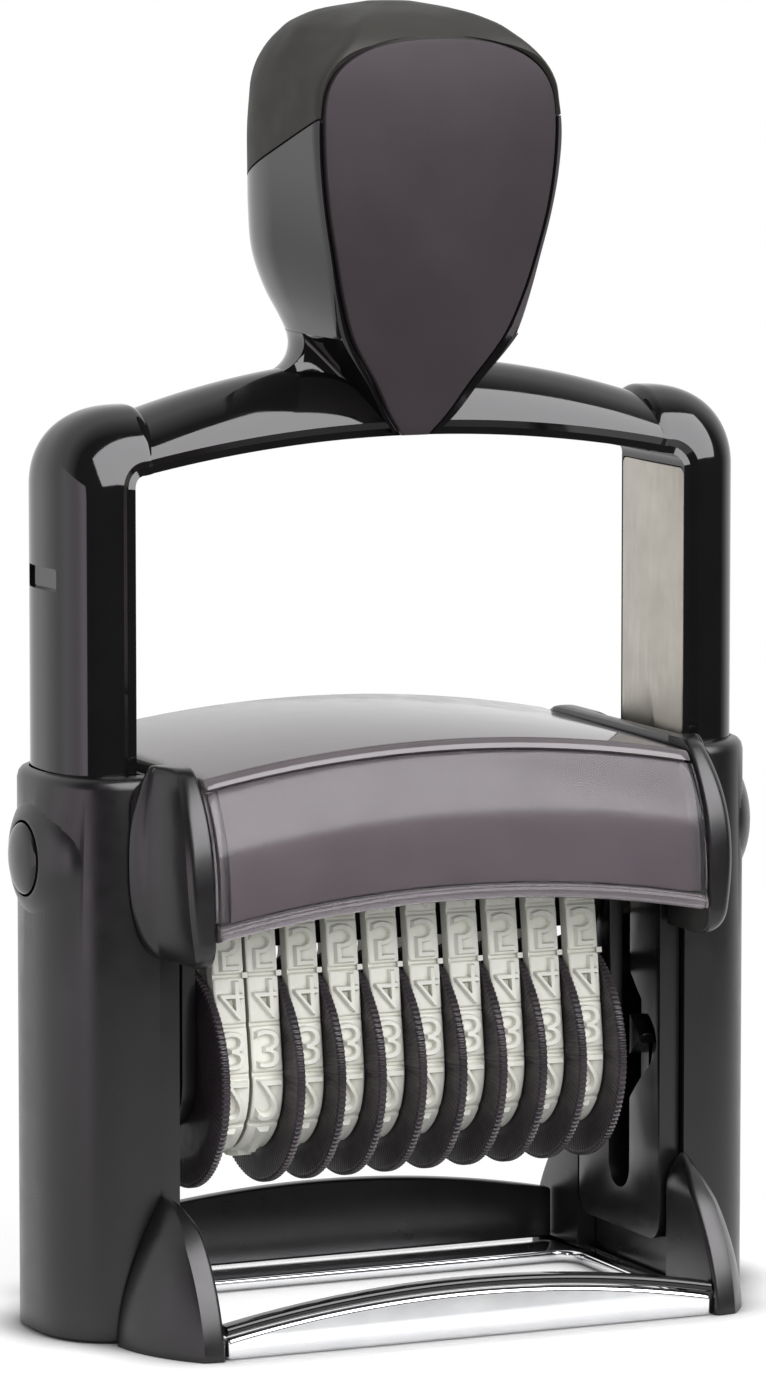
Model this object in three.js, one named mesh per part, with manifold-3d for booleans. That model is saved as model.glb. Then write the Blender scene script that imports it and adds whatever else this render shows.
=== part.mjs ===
// Self-inking numbering machine with ten band wheels, in millimetres.
// +Z is up, -Y is the front, and the origin is under the middle of the base.
import * as THREE from 'three';
import { mergeVertices } from 'three/addons/utils/BufferGeometryUtils.js';
import Module from 'manifold-3d';

const wasm = await Module();
wasm.setup();

// Clearances
const gap = 0.3;
const slide_gap = 0.35;
const side_gap = 0.15;
const running_gap = 0.1;
const seam_gap = 0.4;
const overrun = 5;
const weld_distance = 1e-4;

// Handle stroke, and the flip axle midway between the pad and the paper
const stroke = 36;
const paper_gap = 0.3;
const face_reach = 15.1;
const axle_rest_z = stroke + paper_gap + face_reach;
const face_rest_z = axle_rest_z + face_reach;

// Printing unit: bands and wheels side by side between two arms
const band_count = 10;
const cell_pitch = 5.75;
const disc_thick = 1.15;
const band_width = cell_pitch - disc_thick - 2 * side_gap;
const stack_half = (band_count * cell_pitch + disc_thick) / 2;
const wheel_drop = 19.4;
const wheel_z = axle_rest_z - wheel_drop;
const wheel_axle_radius = 2;
const flip_axle_radius = 2.4;
const type_outer_radius = 11;
const type_height = 1.5;
const type_notch = 0.7;
const band_thick = 1.3;
const hub_radius = type_outer_radius - type_height - band_thick - gap;
const disc_rim = 3.7;
const disc_radius = type_outer_radius + disc_rim;
const bridge_half_depth = 3.4;
const shoulder_half_depth = 7.4;
const shoulder_drop = 8.5;
const shoulder_z = face_rest_z - shoulder_drop;
const segment_count = 16;
const arm_thick = 2;
const arm_half_depth = 6.5;
const arm_top_drop = 6;
const arm_top_z = face_rest_z - arm_top_drop;
const pin_radius = 1.4;
const pin_offset = 9;

// The bay between the cam plates, which the printing unit fills
const arm_cam_gap = 2.675;
const bay_half_width = stack_half + gap + arm_thick + arm_cam_gap;

// Cam plates
const cam_thick = 2.8;
const cam_groove_depth = 1.7;
const cam_clearance = 0.7;
const cam_rim = 0.9;
const cam_half_depth = pin_offset + pin_radius + cam_clearance + cam_rim;
const cam_below_axle = 8.4;
const cam_above_axle = 9.6;
const cam_bottom_z = axle_rest_z - stroke - cam_below_axle;
const cam_top_z = axle_rest_z + cam_above_axle;

// Ink pad, whose felt is a little less deep than the wheels
const tray_side_gap = 0.7;
const tray_half_width = bay_half_width - tray_side_gap;
const tray_lift = 0.6;
const tray_height = 4;
const tray_side_wall = 3.4;
const tray_front_wall = 2.5;
const felt_half_width = tray_half_width - tray_side_wall;
const felt_inset = 1.2;
const felt_half_depth = disc_radius - felt_inset;
const felt_depth = 3.2;
const felt_corner = 1;
const tray_front_y = felt_half_depth + tray_front_wall;
const pad_grip_thick = 1.8;

// Cover, with its height and depth worked out from the pad tray that it houses
const roof_gap = 0.4;
const tray_front_gap = 0.6;
const cover_wall = 1.8;
const lens_thick = 1.1;
const lens_top_gap = 1.6;
const slip_thick = 0.5;
const lens_stack = lens_thick + gap + slip_thick + gap;
const bead_height = 1.6;
const bead_depth = 0.5;
const cover_edge_z = face_rest_z + tray_lift + tray_height + roof_gap + cover_wall;
const cover_edge_y = tray_front_y + tray_front_gap + cover_wall + lens_stack;
const cover_lean = 5.1;
const cover_lower_y = cover_edge_y + cover_lean;
const cover_front_height = 20;
const cover_lower_z = cover_edge_z - cover_front_height;
const cover_bulge = 1.5;
const cover_crown = 3.4;
const cover_rear_inset = 0.2;
const cover_rear_y = cover_lower_y - cover_rear_inset;
const cover_rear_rise = 0.7;
const cover_rear_z = cover_edge_z + cover_rear_rise;
const cover_rear_lip = 1.1;

// Base
const cover_overhang = 0.7;
const base_half_depth = cover_lower_y - cover_overhang;
const base_plate = 1.6;
const base_corner = 2;
const window_side_margin = 0.8;
const window_front_margin = 3;
const window_rear_margin = 12.3;
const window_corner = 3;
const strip_thick = 2.1;
const strip_end_height = 2.7;
const strip_rise = 3.4;
const rim_height = 1.3;
const rim_thick = 2.8;
const rear_wall_thick = 2;
const rear_wall_end_height = 8.6;
const rear_wall_rise = 3.6;
const rear_wall_inset = 2.4;

// Front and rear feet
const foot_inner_x = bay_half_width + seam_gap;
const foot_width = 10.1;
const rear_foot_width = 5.4;
const foot_reach = 3;
const foot_front_y = base_half_depth + foot_reach;
const foot_height = 19;
const foot_toe_height = 4.5;
const foot_exponent = 2.4;
const foot_inner_round = 1;
const foot_outer_round = 6;
const rear_foot_round = 3;

// End cheeks
const cheek_inner_x = bay_half_width + seam_gap;
const cheek_width = 6.8;
const cheek_outer_x = cheek_inner_x + cheek_width;
const cheek_front_y = cover_lower_y - gap;
const cheek_rise = 1.3;
const cheek_height = 25;
const cheek_top_z = cover_edge_z + cheek_rise;
const cheek_bottom_z = cheek_top_z - cheek_height;
const cheek_plan_round = 6;
const cheek_edge_round = 5;
const web_gap = 1;
const web_bottom_z = cam_top_z + web_gap;
const ledge_reach = 1.3;
const ledge_inner_x = tray_half_width - ledge_reach;
const ledge_thick = 1.9;

// Columns
const column_inner_x = bay_half_width + cam_thick + gap;
const column_width = 12.6;
const column_outer_x = column_inner_x + column_width;
const column_half_depth = 13;
const column_top_z = cover_edge_z - gap;
const column_round = 1.6;
const column_wall = 1.15;
const column_floor_z = 4;
const d_exponent = 2.5;
const boss_drop = 11.3;
const boss_z = column_top_z - boss_drop;
const boss_radius = 7.2;
const boss_rise = 0.8;

// Lock buttons
const button_radius = 4.6;
const button_thick = 1.15;
const button_proud = 1.1;
const button_outer_x = column_outer_x + boss_rise + button_proud;
const button_travel = button_proud;
const button_dome = 0.35;
const latch_height = 2.2;
const latch_width = 5;
const latch_reach = 1.8;
const notch_height = 2.9;
const notch_width = 9;
const relief_depth = 2.4;

// Yoke: arch, legs and steel liners
const leg_front_inset = 3.2;
const leg_side_inset = 1.6;
const leg_half_depth = column_half_depth - leg_front_inset;
const leg_outer_x = column_outer_x - leg_side_inset;
const spring_room = 12.5;
const leg_bottom_z = column_floor_z + stroke + spring_room;
const liner_inner_x = column_inner_x + column_wall + slide_gap;
const liner_thick = 1.4;
const liner_below_axle = 5.4;
const liner_bottom_z = axle_rest_z - liner_below_axle;
const arch_under_end_z = cheek_top_z + stroke + seam_gap;
const arch_under_extra = 0.4;
const arch_under_rise = cover_crown + arch_under_extra;
const liner_top_z = arch_under_end_z - seam_gap;
const arch_step = 1.2;
const arch_half_depth = leg_half_depth - arch_step;
const arch_fillet = 2.4;
const arch_height = 13;
const arch_saddle_z = arch_under_end_z + arch_height;
const shoulder_rise = 7.6;
const shoulder_top_z = arch_under_end_z + shoulder_rise;
const shoulder_radius = 8.4;
const shoulder_x = leg_outer_x - shoulder_radius;
const arch_round = 5.5;

// Grip
const grip_half_width = 17.5;
const grip_rear_y = 15.5;
const grip_front_y = 17.6;
const grip_waist_y = 2;
const grip_front_round = 1.2;
const grip_exponent = 2.67;
const grip_height = 46.4;
const grip_top_z = arch_saddle_z + grip_height;
const seam_drop = 14.1;
const seam_front_z = grip_top_z - seam_drop;
const seam_slope_share = 0.34;
const plate_tip_drop = 9.1;
const plate_tip_z = arch_saddle_z - plate_tip_drop;
const plate_top_drop = 4.3;
const plate_top_z = grip_top_z - plate_top_drop;
const plate_side_margin = 1.3;
const plate_half_width = grip_half_width - plate_side_margin;
const plate_tip_half_width = 1.8;
const plate_thick = 1.2;
const plate_tip_y = arch_half_depth + plate_thick + running_gap;
const plate_top_inset = 0.7;
const plate_lean = grip_front_y - plate_tip_y - plate_top_inset;
const plate_lean_bow = 13;
const keel_rise = 3;
const keel_top_z = arch_saddle_z + keel_rise;
const keel_margin = 0.9;

// Return springs
const spring_radius = 2.1;
const spring_wire = 1.1;
const spring_turns = 8;
const curl_steps = 8;
const wire_sides = 5;

// Curve steps and angles in degrees
const fine_steps = 14;
const round_steps = 6;
const wheel_steps = 36;
const inner_stride = 2;
const bore_steps = 16;
const lip_steps = 2;
const quarter_turn = 90;
const half_turn = 180;
const lip_turn = 20;
const shoulder_turn = 80;

// A closed geometry as a manifold solid
function solid(geometry) {
  const bare = geometry.clone();
  bare.deleteAttribute('normal');
  bare.deleteAttribute('uv');
  const merged = mergeVertices(bare, weld_distance);
  return new wasm.Manifold(new wasm.Mesh({
    numProp: 3,
    vertProperties: new Float32Array(merged.attributes.position.array),
    triVerts: new Uint32Array(merged.index.array),
  }));
}

// A manifold solid as a flat-shaded geometry
function geometryOf(body) {
  const result = body.getMesh();
  const geometry = new THREE.BufferGeometry();
  geometry.setAttribute('position', new THREE.BufferAttribute(new Float32Array(result.vertProperties), 3));
  geometry.setIndex(new THREE.BufferAttribute(new Uint32Array(result.triVerts), 1));
  return geometry;
}

function shapeOf(points) {
  return new THREE.Shape(points.map(([a, b]) => new THREE.Vector2(a, b)));
}

// Prisms: each takes an outline in the two other axes and runs from low to high
function extruded(points, depth, steps) {
  return new THREE.ExtrudeGeometry(shapeOf(points), { depth, bevelEnabled: false, steps });
}

function prismZ(points, low, high, steps = 1) {
  return extruded(points, high - low, steps).translate(0, 0, low);
}

function prismX(points, low, high, steps = 1) {
  const turn = new THREE.Matrix4().set(0, 0, 1, 0, 1, 0, 0, 0, 0, 1, 0, 0, 0, 0, 0, 1);
  return extruded(points, high - low, steps).applyMatrix4(turn).translate(low, 0, 0);
}

function prismY(points, low, high, steps = 1) {
  const turn = new THREE.Matrix4().makeRotationX(Math.PI / 2);
  return extruded(points, high - low, steps).applyMatrix4(turn).translate(0, high, 0);
}

function box(x0, x1, y0, y1, z0, z1) {
  const geometry = new THREE.BoxGeometry(x1 - x0, y1 - y0, z1 - z0);
  return geometry.translate((x0 + x1) / 2, (y0 + y1) / 2, (z0 + z1) / 2);
}

function rodX(radius, x0, x1, y, z, sides = bore_steps) {
  const geometry = new THREE.CylinderGeometry(radius, radius, x1 - x0, sides);
  return geometry.rotateZ(Math.PI / 2).translate((x0 + x1) / 2, y, z);
}

// Points of a circular arc, angles in degrees
function arc(centre_a, centre_b, radius, start, end, steps) {
  const points = [];
  for (let i = 0; i <= steps; i += 1) {
    const angle = THREE.MathUtils.degToRad(start + ((end - start) * i) / steps);
    points.push([centre_a + radius * Math.cos(angle), centre_b + radius * Math.sin(angle)]);
  }
  return points;
}

// A box outline whose corners are arcs, or sharp where the radius is zero
function roundedBox(a0, a1, b0, b1, radii) {
  const [low_low, high_low, high_high, low_high] = radii;
  const corner = (a, b, radius, start) => (
    radius > 0 ? arc(a, b, radius, start, start + quarter_turn, round_steps) : [[a, b]]);
  return [
    ...corner(a0 + low_low, b0 + low_low, low_low, half_turn),
    ...corner(a1 - high_low, b0 + high_low, high_low, -quarter_turn),
    ...corner(a1 - high_high, b1 - high_high, high_high, 0),
    ...corner(a0 + low_high, b1 - low_high, low_high, quarter_turn),
  ];
}

function evenBox(a0, a1, b0, b1, radius) {
  return roundedBox(a0, a1, b0, b1, [radius, radius, radius, radius]);
}

// D section: flat at the inner side, a superellipse outside, for the right-hand side
function dSection(inner_x, outer_x, half_depth) {
  const points = [];
  for (let i = 0; i <= fine_steps; i += 1) {
    const angle = -Math.PI / 2 + (Math.PI * i) / fine_steps;
    const c = Math.cos(angle);
    const s = Math.sin(angle);
    points.push([
      inner_x + (outer_x - inner_x) * Math.abs(c) ** (2 / d_exponent),
      half_depth * Math.sign(s) * Math.abs(s) ** (2 / d_exponent),
    ]);
  }
  return points;
}

function mirrored(geometry) {
  const copy = geometry.clone().scale(-1, 1, 1);
  const index = copy.index ? copy.index.array : null;
  if (index) {
    for (let i = 0; i < index.length; i += 3) {
      [index[i], index[i + 1]] = [index[i + 1], index[i]];
    }
  }
  return copy;
}

// A lofted solid through rings of points with equal counts
function loft(rings) {
  const count = rings[0].length;
  const positions = rings.flat(2);
  const index = [];
  for (let ring = 0; ring + 1 < rings.length; ring += 1) {
    for (let i = 0; i < count; i += 1) {
      const next = (i + 1) % count;
      const a = ring * count + i;
      const b = ring * count + next;
      const c = (ring + 1) * count + next;
      const d = (ring + 1) * count + i;
      index.push(a, b, c, a, c, d);
    }
  }
  const cap = (ring, flipped) => {
    const outline = rings[ring].map(([x, y]) => new THREE.Vector2(x, y));
    THREE.ShapeUtils.triangulateShape(outline, []).forEach(([a, b, c]) => {
      const base = ring * count;
      index.push(...(flipped ? [base + a, base + c, base + b] : [base + a, base + b, base + c]));
    });
  };
  cap(0, true);
  cap(rings.length - 1, false);
  const geometry = new THREE.BufferGeometry();
  geometry.setAttribute('position', new THREE.Float32BufferAttribute(positions, 3));
  geometry.setIndex(index);
  return geometry;
}

// Materials
function paint(color, roughness, metalness = 0) {
  return new THREE.MeshStandardMaterial({ color, roughness, metalness });
}

const gloss_black = paint(0x17171a, 0.15);
const satin_black = paint(0x1d1c1d, 0.45);
const soft_grey = paint(0x484742, 0.75);
const plate_grey = paint(0x4a4549, 0.6);
const smoke_grey = paint(0x5c5a5c, 0.12);
const clear_plastic = paint(0xd8dcdc, 0.08);
const card_grey = paint(0x6c6267, 0.8);
const chrome = paint(0xd5d5d2, 0.12, 1);
const steel = paint(0xddd8cd, 0.28, 1);
const band_white = paint(0xdedfd4, 0.6);
const felt_blue = paint(0x20242c, 0.95);

const machine = new THREE.Group();

function place(name, geometry, material) {
  const part = new THREE.Mesh(geometry, material);
  part.name = name;
  machine.add(part);
  return part;
}

function placePair(name, geometry, material) {
  place(`${name}_right`, geometry, material);
  place(`${name}_left`, mirrored(geometry), material);
}

// Arched bar outline across the width: lower and upper edges rise to the middle
function archedBar(half_width, low_end, low_rise, high_end, high_rise) {
  const points = [];
  for (let i = 0; i <= fine_steps; i += 1) {
    const share = -1 + (2 * i) / fine_steps;
    points.push([half_width * share, low_end + low_rise * (1 - share * share)]);
  }
  for (let i = fine_steps; i >= 0; i -= 1) {
    const share = -1 + (2 * i) / fine_steps;
    points.push([half_width * share, high_end + high_rise * (1 - share * share)]);
  }
  return points;
}

function buildBase() {
  const half_width = column_inner_x - gap;
  const outline = evenBox(-half_width, half_width, -base_half_depth, base_half_depth, base_corner);
  const window_half_width = bay_half_width - window_side_margin;
  const window = evenBox(-window_half_width, window_half_width, window_front_margin - base_half_depth,
    base_half_depth - window_rear_margin, window_corner);
  const plate = solid(prismZ(outline, 0, base_plate));
  const opening = solid(prismZ(window, -overrun, base_plate + overrun));
  place('base_frame', geometryOf(plate.subtract(opening)), chrome);

  const strip_back = -base_half_depth - gap;
  const strip_front = strip_back - strip_thick;
  const strip = archedBar(bay_half_width, 0, 0, strip_end_height, strip_rise);
  place('front_strip', prismY(strip, strip_front, strip_back), chrome);

  const rim_low = strip_end_height + gap;
  const rim = archedBar(bay_half_width, rim_low, strip_rise, rim_low + rim_height, strip_rise);
  place('front_rim', prismY(rim, strip_front, strip_front + rim_thick), gloss_black);

  const wall_low = base_plate + gap;
  const wall = archedBar(bay_half_width, wall_low, 0, rear_wall_end_height, rear_wall_rise);
  const wall_rear = base_half_depth - rear_wall_inset;
  place('rear_wall', prismY(wall, wall_rear - rear_wall_thick, wall_rear), satin_black);
}

// Fin-shaped foot beside a column, rounded in its side view, its plan and its front view
function footSolid(width, outer_round) {
  const foot_outer_x = foot_inner_x + width;
  const inner_y = column_half_depth + gap;
  const rise = [];
  for (let i = 0; i <= round_steps; i += 1) {
    const share = i / round_steps;
    rise.push([
      -foot_front_y + (foot_front_y - inner_y) * share,
      foot_toe_height + (foot_height - foot_toe_height) * Math.sin((Math.PI / 2) * share),
    ]);
  }
  const side = [[-foot_front_y, 0], [-inner_y, 0], ...rise.reverse()];
  const plan = roundedBox(foot_inner_x, foot_outer_x, -foot_front_y, -inner_y,
    [foot_inner_round, outer_round, 0, 0]);
  const slope = [];
  for (let i = 0; i <= round_steps; i += 1) {
    const turn = (Math.PI / 2) * (i / round_steps);
    slope.push([
      foot_inner_x + (foot_outer_x - foot_inner_x) * Math.cos(turn) ** (2 / foot_exponent),
      foot_height * Math.sin(turn) ** (2 / foot_exponent),
    ]);
  }
  const front_view = [[foot_inner_x, 0], ...slope];
  const plate_corner = box(foot_inner_x - overrun, column_inner_x, -base_half_depth - gap, base_half_depth,
    -overrun, base_plate + gap);
  return solid(prismX(side, foot_inner_x, foot_outer_x))
    .intersect(solid(prismZ(plan, -overrun, foot_height + overrun)))
    .intersect(solid(prismY(front_view, -foot_front_y - overrun, 0)))
    .subtract(solid(plate_corner));
}

function buildFeet() {
  const front = footSolid(foot_width, foot_outer_round);
  const rear = footSolid(rear_foot_width, rear_foot_round).mirror([0, 1, 0]);
  placePair('foot_front', geometryOf(front), gloss_black);
  placePair('foot_rear', geometryOf(rear), gloss_black);
}

// Upright slot that the flip axle runs in, for the columns and the cam plates
function axleSlot() {
  const half = flip_axle_radius + cam_clearance;
  return evenBox(-half, half, axle_rest_z - stroke - half, axle_rest_z + half, half);
}

// Column: a D-shaped tower with a pocket for the leg, an axle slot and a button boss
function buildColumns() {
  const section = dSection(column_inner_x, column_outer_x, column_half_depth);
  const inset = dSection(column_inner_x, column_outer_x - column_round, column_half_depth - column_round);
  const tower = solid(loft([
    section.map(([x, y]) => [x, y, 0]),
    section.map(([x, y]) => [x, y, column_top_z - column_round]),
    inset.map(([x, y]) => [x, y, column_top_z]),
  ]));
  const pocket = dSection(column_inner_x + column_wall, leg_outer_x + slide_gap, leg_half_depth + slide_gap);
  const boss_base = solid(rodX(boss_radius, leg_outer_x + slide_gap, column_outer_x + boss_rise, 0, boss_z,
    wheel_steps));
  const hole_radius = button_radius + slide_gap;
  const button_hole = rodX(hole_radius, leg_outer_x, button_outer_x + overrun, 0, boss_z, wheel_steps);
  const column = tower
    .add(boss_base)
    .subtract(solid(prismZ(pocket, column_floor_z, column_top_z + overrun)))
    .subtract(solid(prismX(axleSlot(), column_inner_x - overrun, column_inner_x + column_wall + slide_gap)))
    .subtract(solid(button_hole));
  placePair('column', geometryOf(column), satin_black);
}

function buildButtons() {
  const inner_x = button_outer_x - button_thick;
  const disc = new THREE.LatheGeometry([
    new THREE.Vector2(0, 0),
    new THREE.Vector2(button_radius, 0),
    new THREE.Vector2(button_radius, button_thick - button_dome),
    new THREE.Vector2(button_radius - button_dome, button_thick),
    new THREE.Vector2(0, button_thick),
  ], wheel_steps / 2);
  disc.rotateZ(-Math.PI / 2).translate(inner_x, 0, boss_z);
  const half_latch = latch_height / 2;
  const latch = box(inner_x - latch_reach, inner_x + button_dome, -latch_width / 2, latch_width / 2,
    boss_z - half_latch, boss_z + half_latch);
  placePair('button', geometryOf(solid(disc).add(solid(latch))), gloss_black);
}

// Yoke moulding: the arch across the top with both legs, in one piece. Each leg has a notch for the latch
// when the handle is down, and is set in at its foot so that the button can move when the handle is up.
function buildYoke() {
  const top = [
    [leg_outer_x, shoulder_top_z - shoulder_radius - overrun],
    ...arc(shoulder_x, shoulder_top_z - shoulder_radius, shoulder_radius, 0, shoulder_turn, round_steps),
  ];
  const crest = [];
  const crest_rise = arch_saddle_z + gap - shoulder_top_z;
  for (let i = 0; i <= round_steps; i += 1) {
    const share = 1 - i / round_steps;
    crest.push([shoulder_x * share, shoulder_top_z + crest_rise * (1 - share * share)]);
  }
  const right_top = [...top, ...crest.slice(1)];
  const left_top = right_top.slice(0, -1).reverse().map(([x, z]) => [-x, z]);
  const under = [];
  for (let i = 0; i <= fine_steps; i += 1) {
    const share = -1 + (2 * i) / fine_steps;
    const half = liner_inner_x - arch_fillet;
    under.push([half * share, arch_under_end_z + arch_under_rise * (1 - share * share)]);
  }
  const liner_x = liner_inner_x + liner_thick + gap;
  const fillet_z = arch_under_end_z - arch_fillet;
  const outline = [
    [leg_outer_x, leg_bottom_z],
    ...right_top,
    ...left_top,
    [-leg_outer_x, leg_bottom_z],
    [-liner_x, leg_bottom_z],
    [-liner_x, liner_top_z + gap],
    [-liner_inner_x, liner_top_z + gap],
    ...arc(-liner_inner_x + arch_fillet, fillet_z, arch_fillet, half_turn, quarter_turn, round_steps)
      .filter(([, z]) => z > liner_top_z + gap),
    ...under.slice(1, -1),
    ...arc(liner_inner_x - arch_fillet, fillet_z, arch_fillet, quarter_turn, 0, round_steps)
      .filter(([, z]) => z > liner_top_z + gap),
    [liner_inner_x, liner_top_z + gap],
    [liner_x, liner_top_z + gap],
    [liner_x, leg_bottom_z],
  ];
  const front_view = solid(prismY(outline, -leg_half_depth - overrun, leg_half_depth + overrun));
  const right_plan = dSection(liner_inner_x, leg_outer_x, leg_half_depth);
  const left_plan = right_plan.map(([x, y]) => [-x, -y]);
  const waist = liner_inner_x - arch_fillet;
  const plan = [
    ...right_plan,
    [waist, arch_half_depth],
    [-waist, arch_half_depth],
    ...left_plan,
    [-waist, -arch_half_depth],
    [waist, -arch_half_depth],
  ];
  const plan_view = solid(prismZ(plan, leg_bottom_z - overrun, arch_saddle_z + overrun));
  const round_y = leg_half_depth - arch_round;
  const round_z = arch_saddle_z - arch_round;
  const side = [
    [-leg_half_depth, leg_bottom_z - overrun],
    [leg_half_depth, leg_bottom_z - overrun],
    ...arc(round_y, round_z, arch_round, 0, quarter_turn, round_steps),
    ...arc(-round_y, round_z, arch_round, quarter_turn, half_turn, round_steps),
  ];
  const side_view = solid(prismX(side, -leg_outer_x - overrun, leg_outer_x + overrun));
  let yoke = front_view.intersect(plan_view).intersect(side_view);
  const pressed_latch_x = button_outer_x - button_thick - latch_reach - button_travel;
  const notch_z = boss_z + stroke;
  const notch = solid(box(pressed_latch_x - gap, leg_outer_x + overrun, -notch_width / 2, notch_width / 2,
    notch_z - notch_height / 2, notch_z + notch_height / 2));
  const relief = solid(box(leg_outer_x - relief_depth, leg_outer_x + overrun,
    -leg_half_depth, leg_half_depth, leg_bottom_z - overrun, boss_z + notch_height));
  for (const cut of [notch, relief]) {
    yoke = yoke.subtract(cut).subtract(cut.mirror([1, 0, 0]));
  }
  place('yoke', geometryOf(yoke), gloss_black);

  const bore_radius = flip_axle_radius + running_gap;
  const bore = rodX(bore_radius, liner_inner_x - overrun, liner_x + overrun, 0, axle_rest_z);
  const outline_yz = roundedBox(-leg_half_depth + gap, leg_half_depth - gap, liner_bottom_z, liner_top_z,
    [liner_thick, liner_thick, liner_thick, liner_thick]);
  const liner = solid(prismX(outline_yz, liner_inner_x, liner_inner_x + liner_thick)).subtract(solid(bore));
  placePair('leg_liner', geometryOf(liner), steel);
}

// Sections of the grip from the saddle up, as shares of its height, half-width and depths
const grip_height_shares = [0, 0.06, 0.105, 0.178, 0.288, 0.417, 0.535, 0.665,
  0.726, 0.78, 0.847, 0.91, 0.952, 0.98, 1];
const grip_width_shares = [0.73, 0.71, 0.76, 0.86, 0.965, 0.995, 1, 1,
  0.99, 0.98, 0.92, 0.8, 0.66, 0.46, 0.16];
const grip_face_shares = [0.53, 0.63, 0.685, 0.76, 0.845, 0.92, 0.97, 0.99,
  0.975, 0.955, 0.85, 0.68, 0.54, 0.36, 0.1];
const grip_front_shares = [0.75, 0.79, 0.82, 0.875, 0.94, 0.98, 1, 1,
  0.99, 0.98, 0.965, 0.88, 0.71, 0.5, 0.2];
const grip_rear_shares = [0.77, 0.77, 0.81, 0.9, 0.97, 1, 1, 0.99,
  0.97, 0.94, 0.89, 0.76, 0.62, 0.42, 0.1];

function gripRings() {
  return grip_height_shares.map((height_share, k) => {
    const width = grip_half_width * grip_width_shares[k];
    const face = grip_half_width * grip_face_shares[k];
    const front = grip_front_y * grip_front_shares[k];
    const rear = grip_rear_y * grip_rear_shares[k];
    const round = grip_front_round;
    const flank_y = -Math.min(grip_waist_y, front / 2);
    const back = [];
    for (let i = 0; i <= fine_steps; i += 1) {
      const turn = (Math.PI * i) / fine_steps;
      const c = Math.cos(turn);
      back.push([
        width * Math.sign(c) * Math.abs(c) ** (2 / grip_exponent),
        flank_y + (rear - flank_y) * Math.sin(turn) ** (2 / grip_exponent),
      ]);
    }
    const z = arch_saddle_z + gap + (grip_height - gap) * height_share;
    const section = [
      ...arc(round - face, round - front, round, lip_turn - half_turn, -quarter_turn, lip_steps),
      ...arc(face - round, round - front, round, -quarter_turn, -lip_turn, lip_steps),
      ...back,
    ];
    return section.map(([x, y]) => [x, y, z]);
  });
}

// The front plate leans forward towards the top and bows a little
function plateFront(z) {
  const share = (z - plate_tip_z) / (plate_top_z - plate_tip_z);
  return -(plate_tip_y + plate_lean * share + plate_lean_bow * share * (1 - share));
}

const plate_height_shares = [0, 0.04, 0.13, 0.25, 0.36, 0.47, 0.58, 0.68,
  0.77, 0.85, 0.91, 0.955, 0.985, 1];
const plate_width_shares = [1, 0.215, 0.395, 0.65, 0.78, 0.87, 0.945, 0.985,
  1, 0.98, 0.91, 0.74, 0.52, 0.17];

function plateOutline(extra) {
  const right = plate_height_shares.map((share, k) => {
    const width = k === 0 ? plate_tip_half_width : plate_half_width * plate_width_shares[k];
    const z = plate_tip_z + (plate_top_z - plate_tip_z) * share;
    return [width + extra, k === 0 ? z - extra : z + extra * share];
  });
  const left = right.map(([x, z]) => [-x, z]).reverse();
  return [...right, ...left];
}

// A slab that follows the plate's lean, from a front offset to a rear offset behind its face
function leaningSlab(outline, front_offset, rear_offset, bottom_z, top_z) {
  const profile = [];
  for (let i = 0; i <= fine_steps; i += 1) {
    const z = bottom_z + ((top_z - bottom_z) * i) / fine_steps;
    profile.push([plateFront(z) + front_offset, z]);
  }
  for (let i = fine_steps; i >= 0; i -= 1) {
    const z = bottom_z + ((top_z - bottom_z) * i) / fine_steps;
    profile.push([plateFront(z) + rear_offset, z]);
  }
  const slab = solid(prismX(profile.reverse(), -grip_half_width - overrun, grip_half_width + overrun));
  return slab.intersect(solid(prismY(outline, -grip_front_y - plate_lean - overrun, grip_front_y)));
}

function buildGrip() {
  const rings = gripRings();
  const whole = solid(loft(rings));
  const seam_y = -grip_front_y;
  const seamAt = (y) => seam_front_z - seam_slope_share * (y - seam_y);
  const far = grip_front_y + plate_lean + overrun;
  const above = (shift) => solid(prismX([
    [-far, seamAt(-far) + shift],
    [far, seamAt(far) + shift],
    [far, grip_top_z + overrun],
    [-far, grip_top_z + overrun],
  ], -grip_half_width - overrun, grip_half_width + overrun));
  const keel_depth = plate_thick + gap + plate_thick;
  const keel = leaningSlab(plateOutline(gap + keel_margin), 0, keel_depth,
    plate_tip_z - gap - keel_margin, keel_top_z);
  const recess = leaningSlab(plateOutline(gap), -overrun, plate_thick + gap,
    plate_tip_z - overrun, plate_top_z + overrun);
  const plate = leaningSlab(plateOutline(0), 0, plate_thick, plate_tip_z, plate_top_z + overrun);
  const arch_front = -arch_half_depth - gap;
  const arch_zone = solid(box(-grip_half_width, grip_half_width, arch_front, grip_front_y,
    plate_tip_z - overrun, arch_saddle_z + gap));
  const shell = whole.add(keel.subtract(arch_zone)).subtract(recess);
  place('grip_body', geometryOf(shell.subtract(above(-gap / 2))), gloss_black);
  place('grip_cap', geometryOf(shell.intersect(above(gap / 2))), soft_grey);
  place('front_plate', geometryOf(plate), plate_grey);
}

// Cover: the front face is a bulged curve, and everything rises to the middle of the width
function coverFront(z) {
  const share = (z - cover_lower_z) / (cover_edge_z - cover_lower_z);
  return -(cover_lower_y + (cover_edge_y - cover_lower_y) * share + 4 * cover_bulge * share * (1 - share));
}

function frontCurve(low_z, high_z, offset, steps) {
  const points = [];
  for (let i = 0; i <= steps; i += 1) {
    const z = low_z + ((high_z - low_z) * i) / steps;
    points.push([coverFront(z) + offset, z]);
  }
  return points;
}

function crowned(geometry) {
  const position = geometry.attributes.position;
  for (let i = 0; i < position.count; i += 1) {
    const share = position.getX(i) / bay_half_width;
    position.setZ(i, position.getZ(i) + cover_crown * (1 - share * share));
  }
  return geometry;
}

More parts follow.
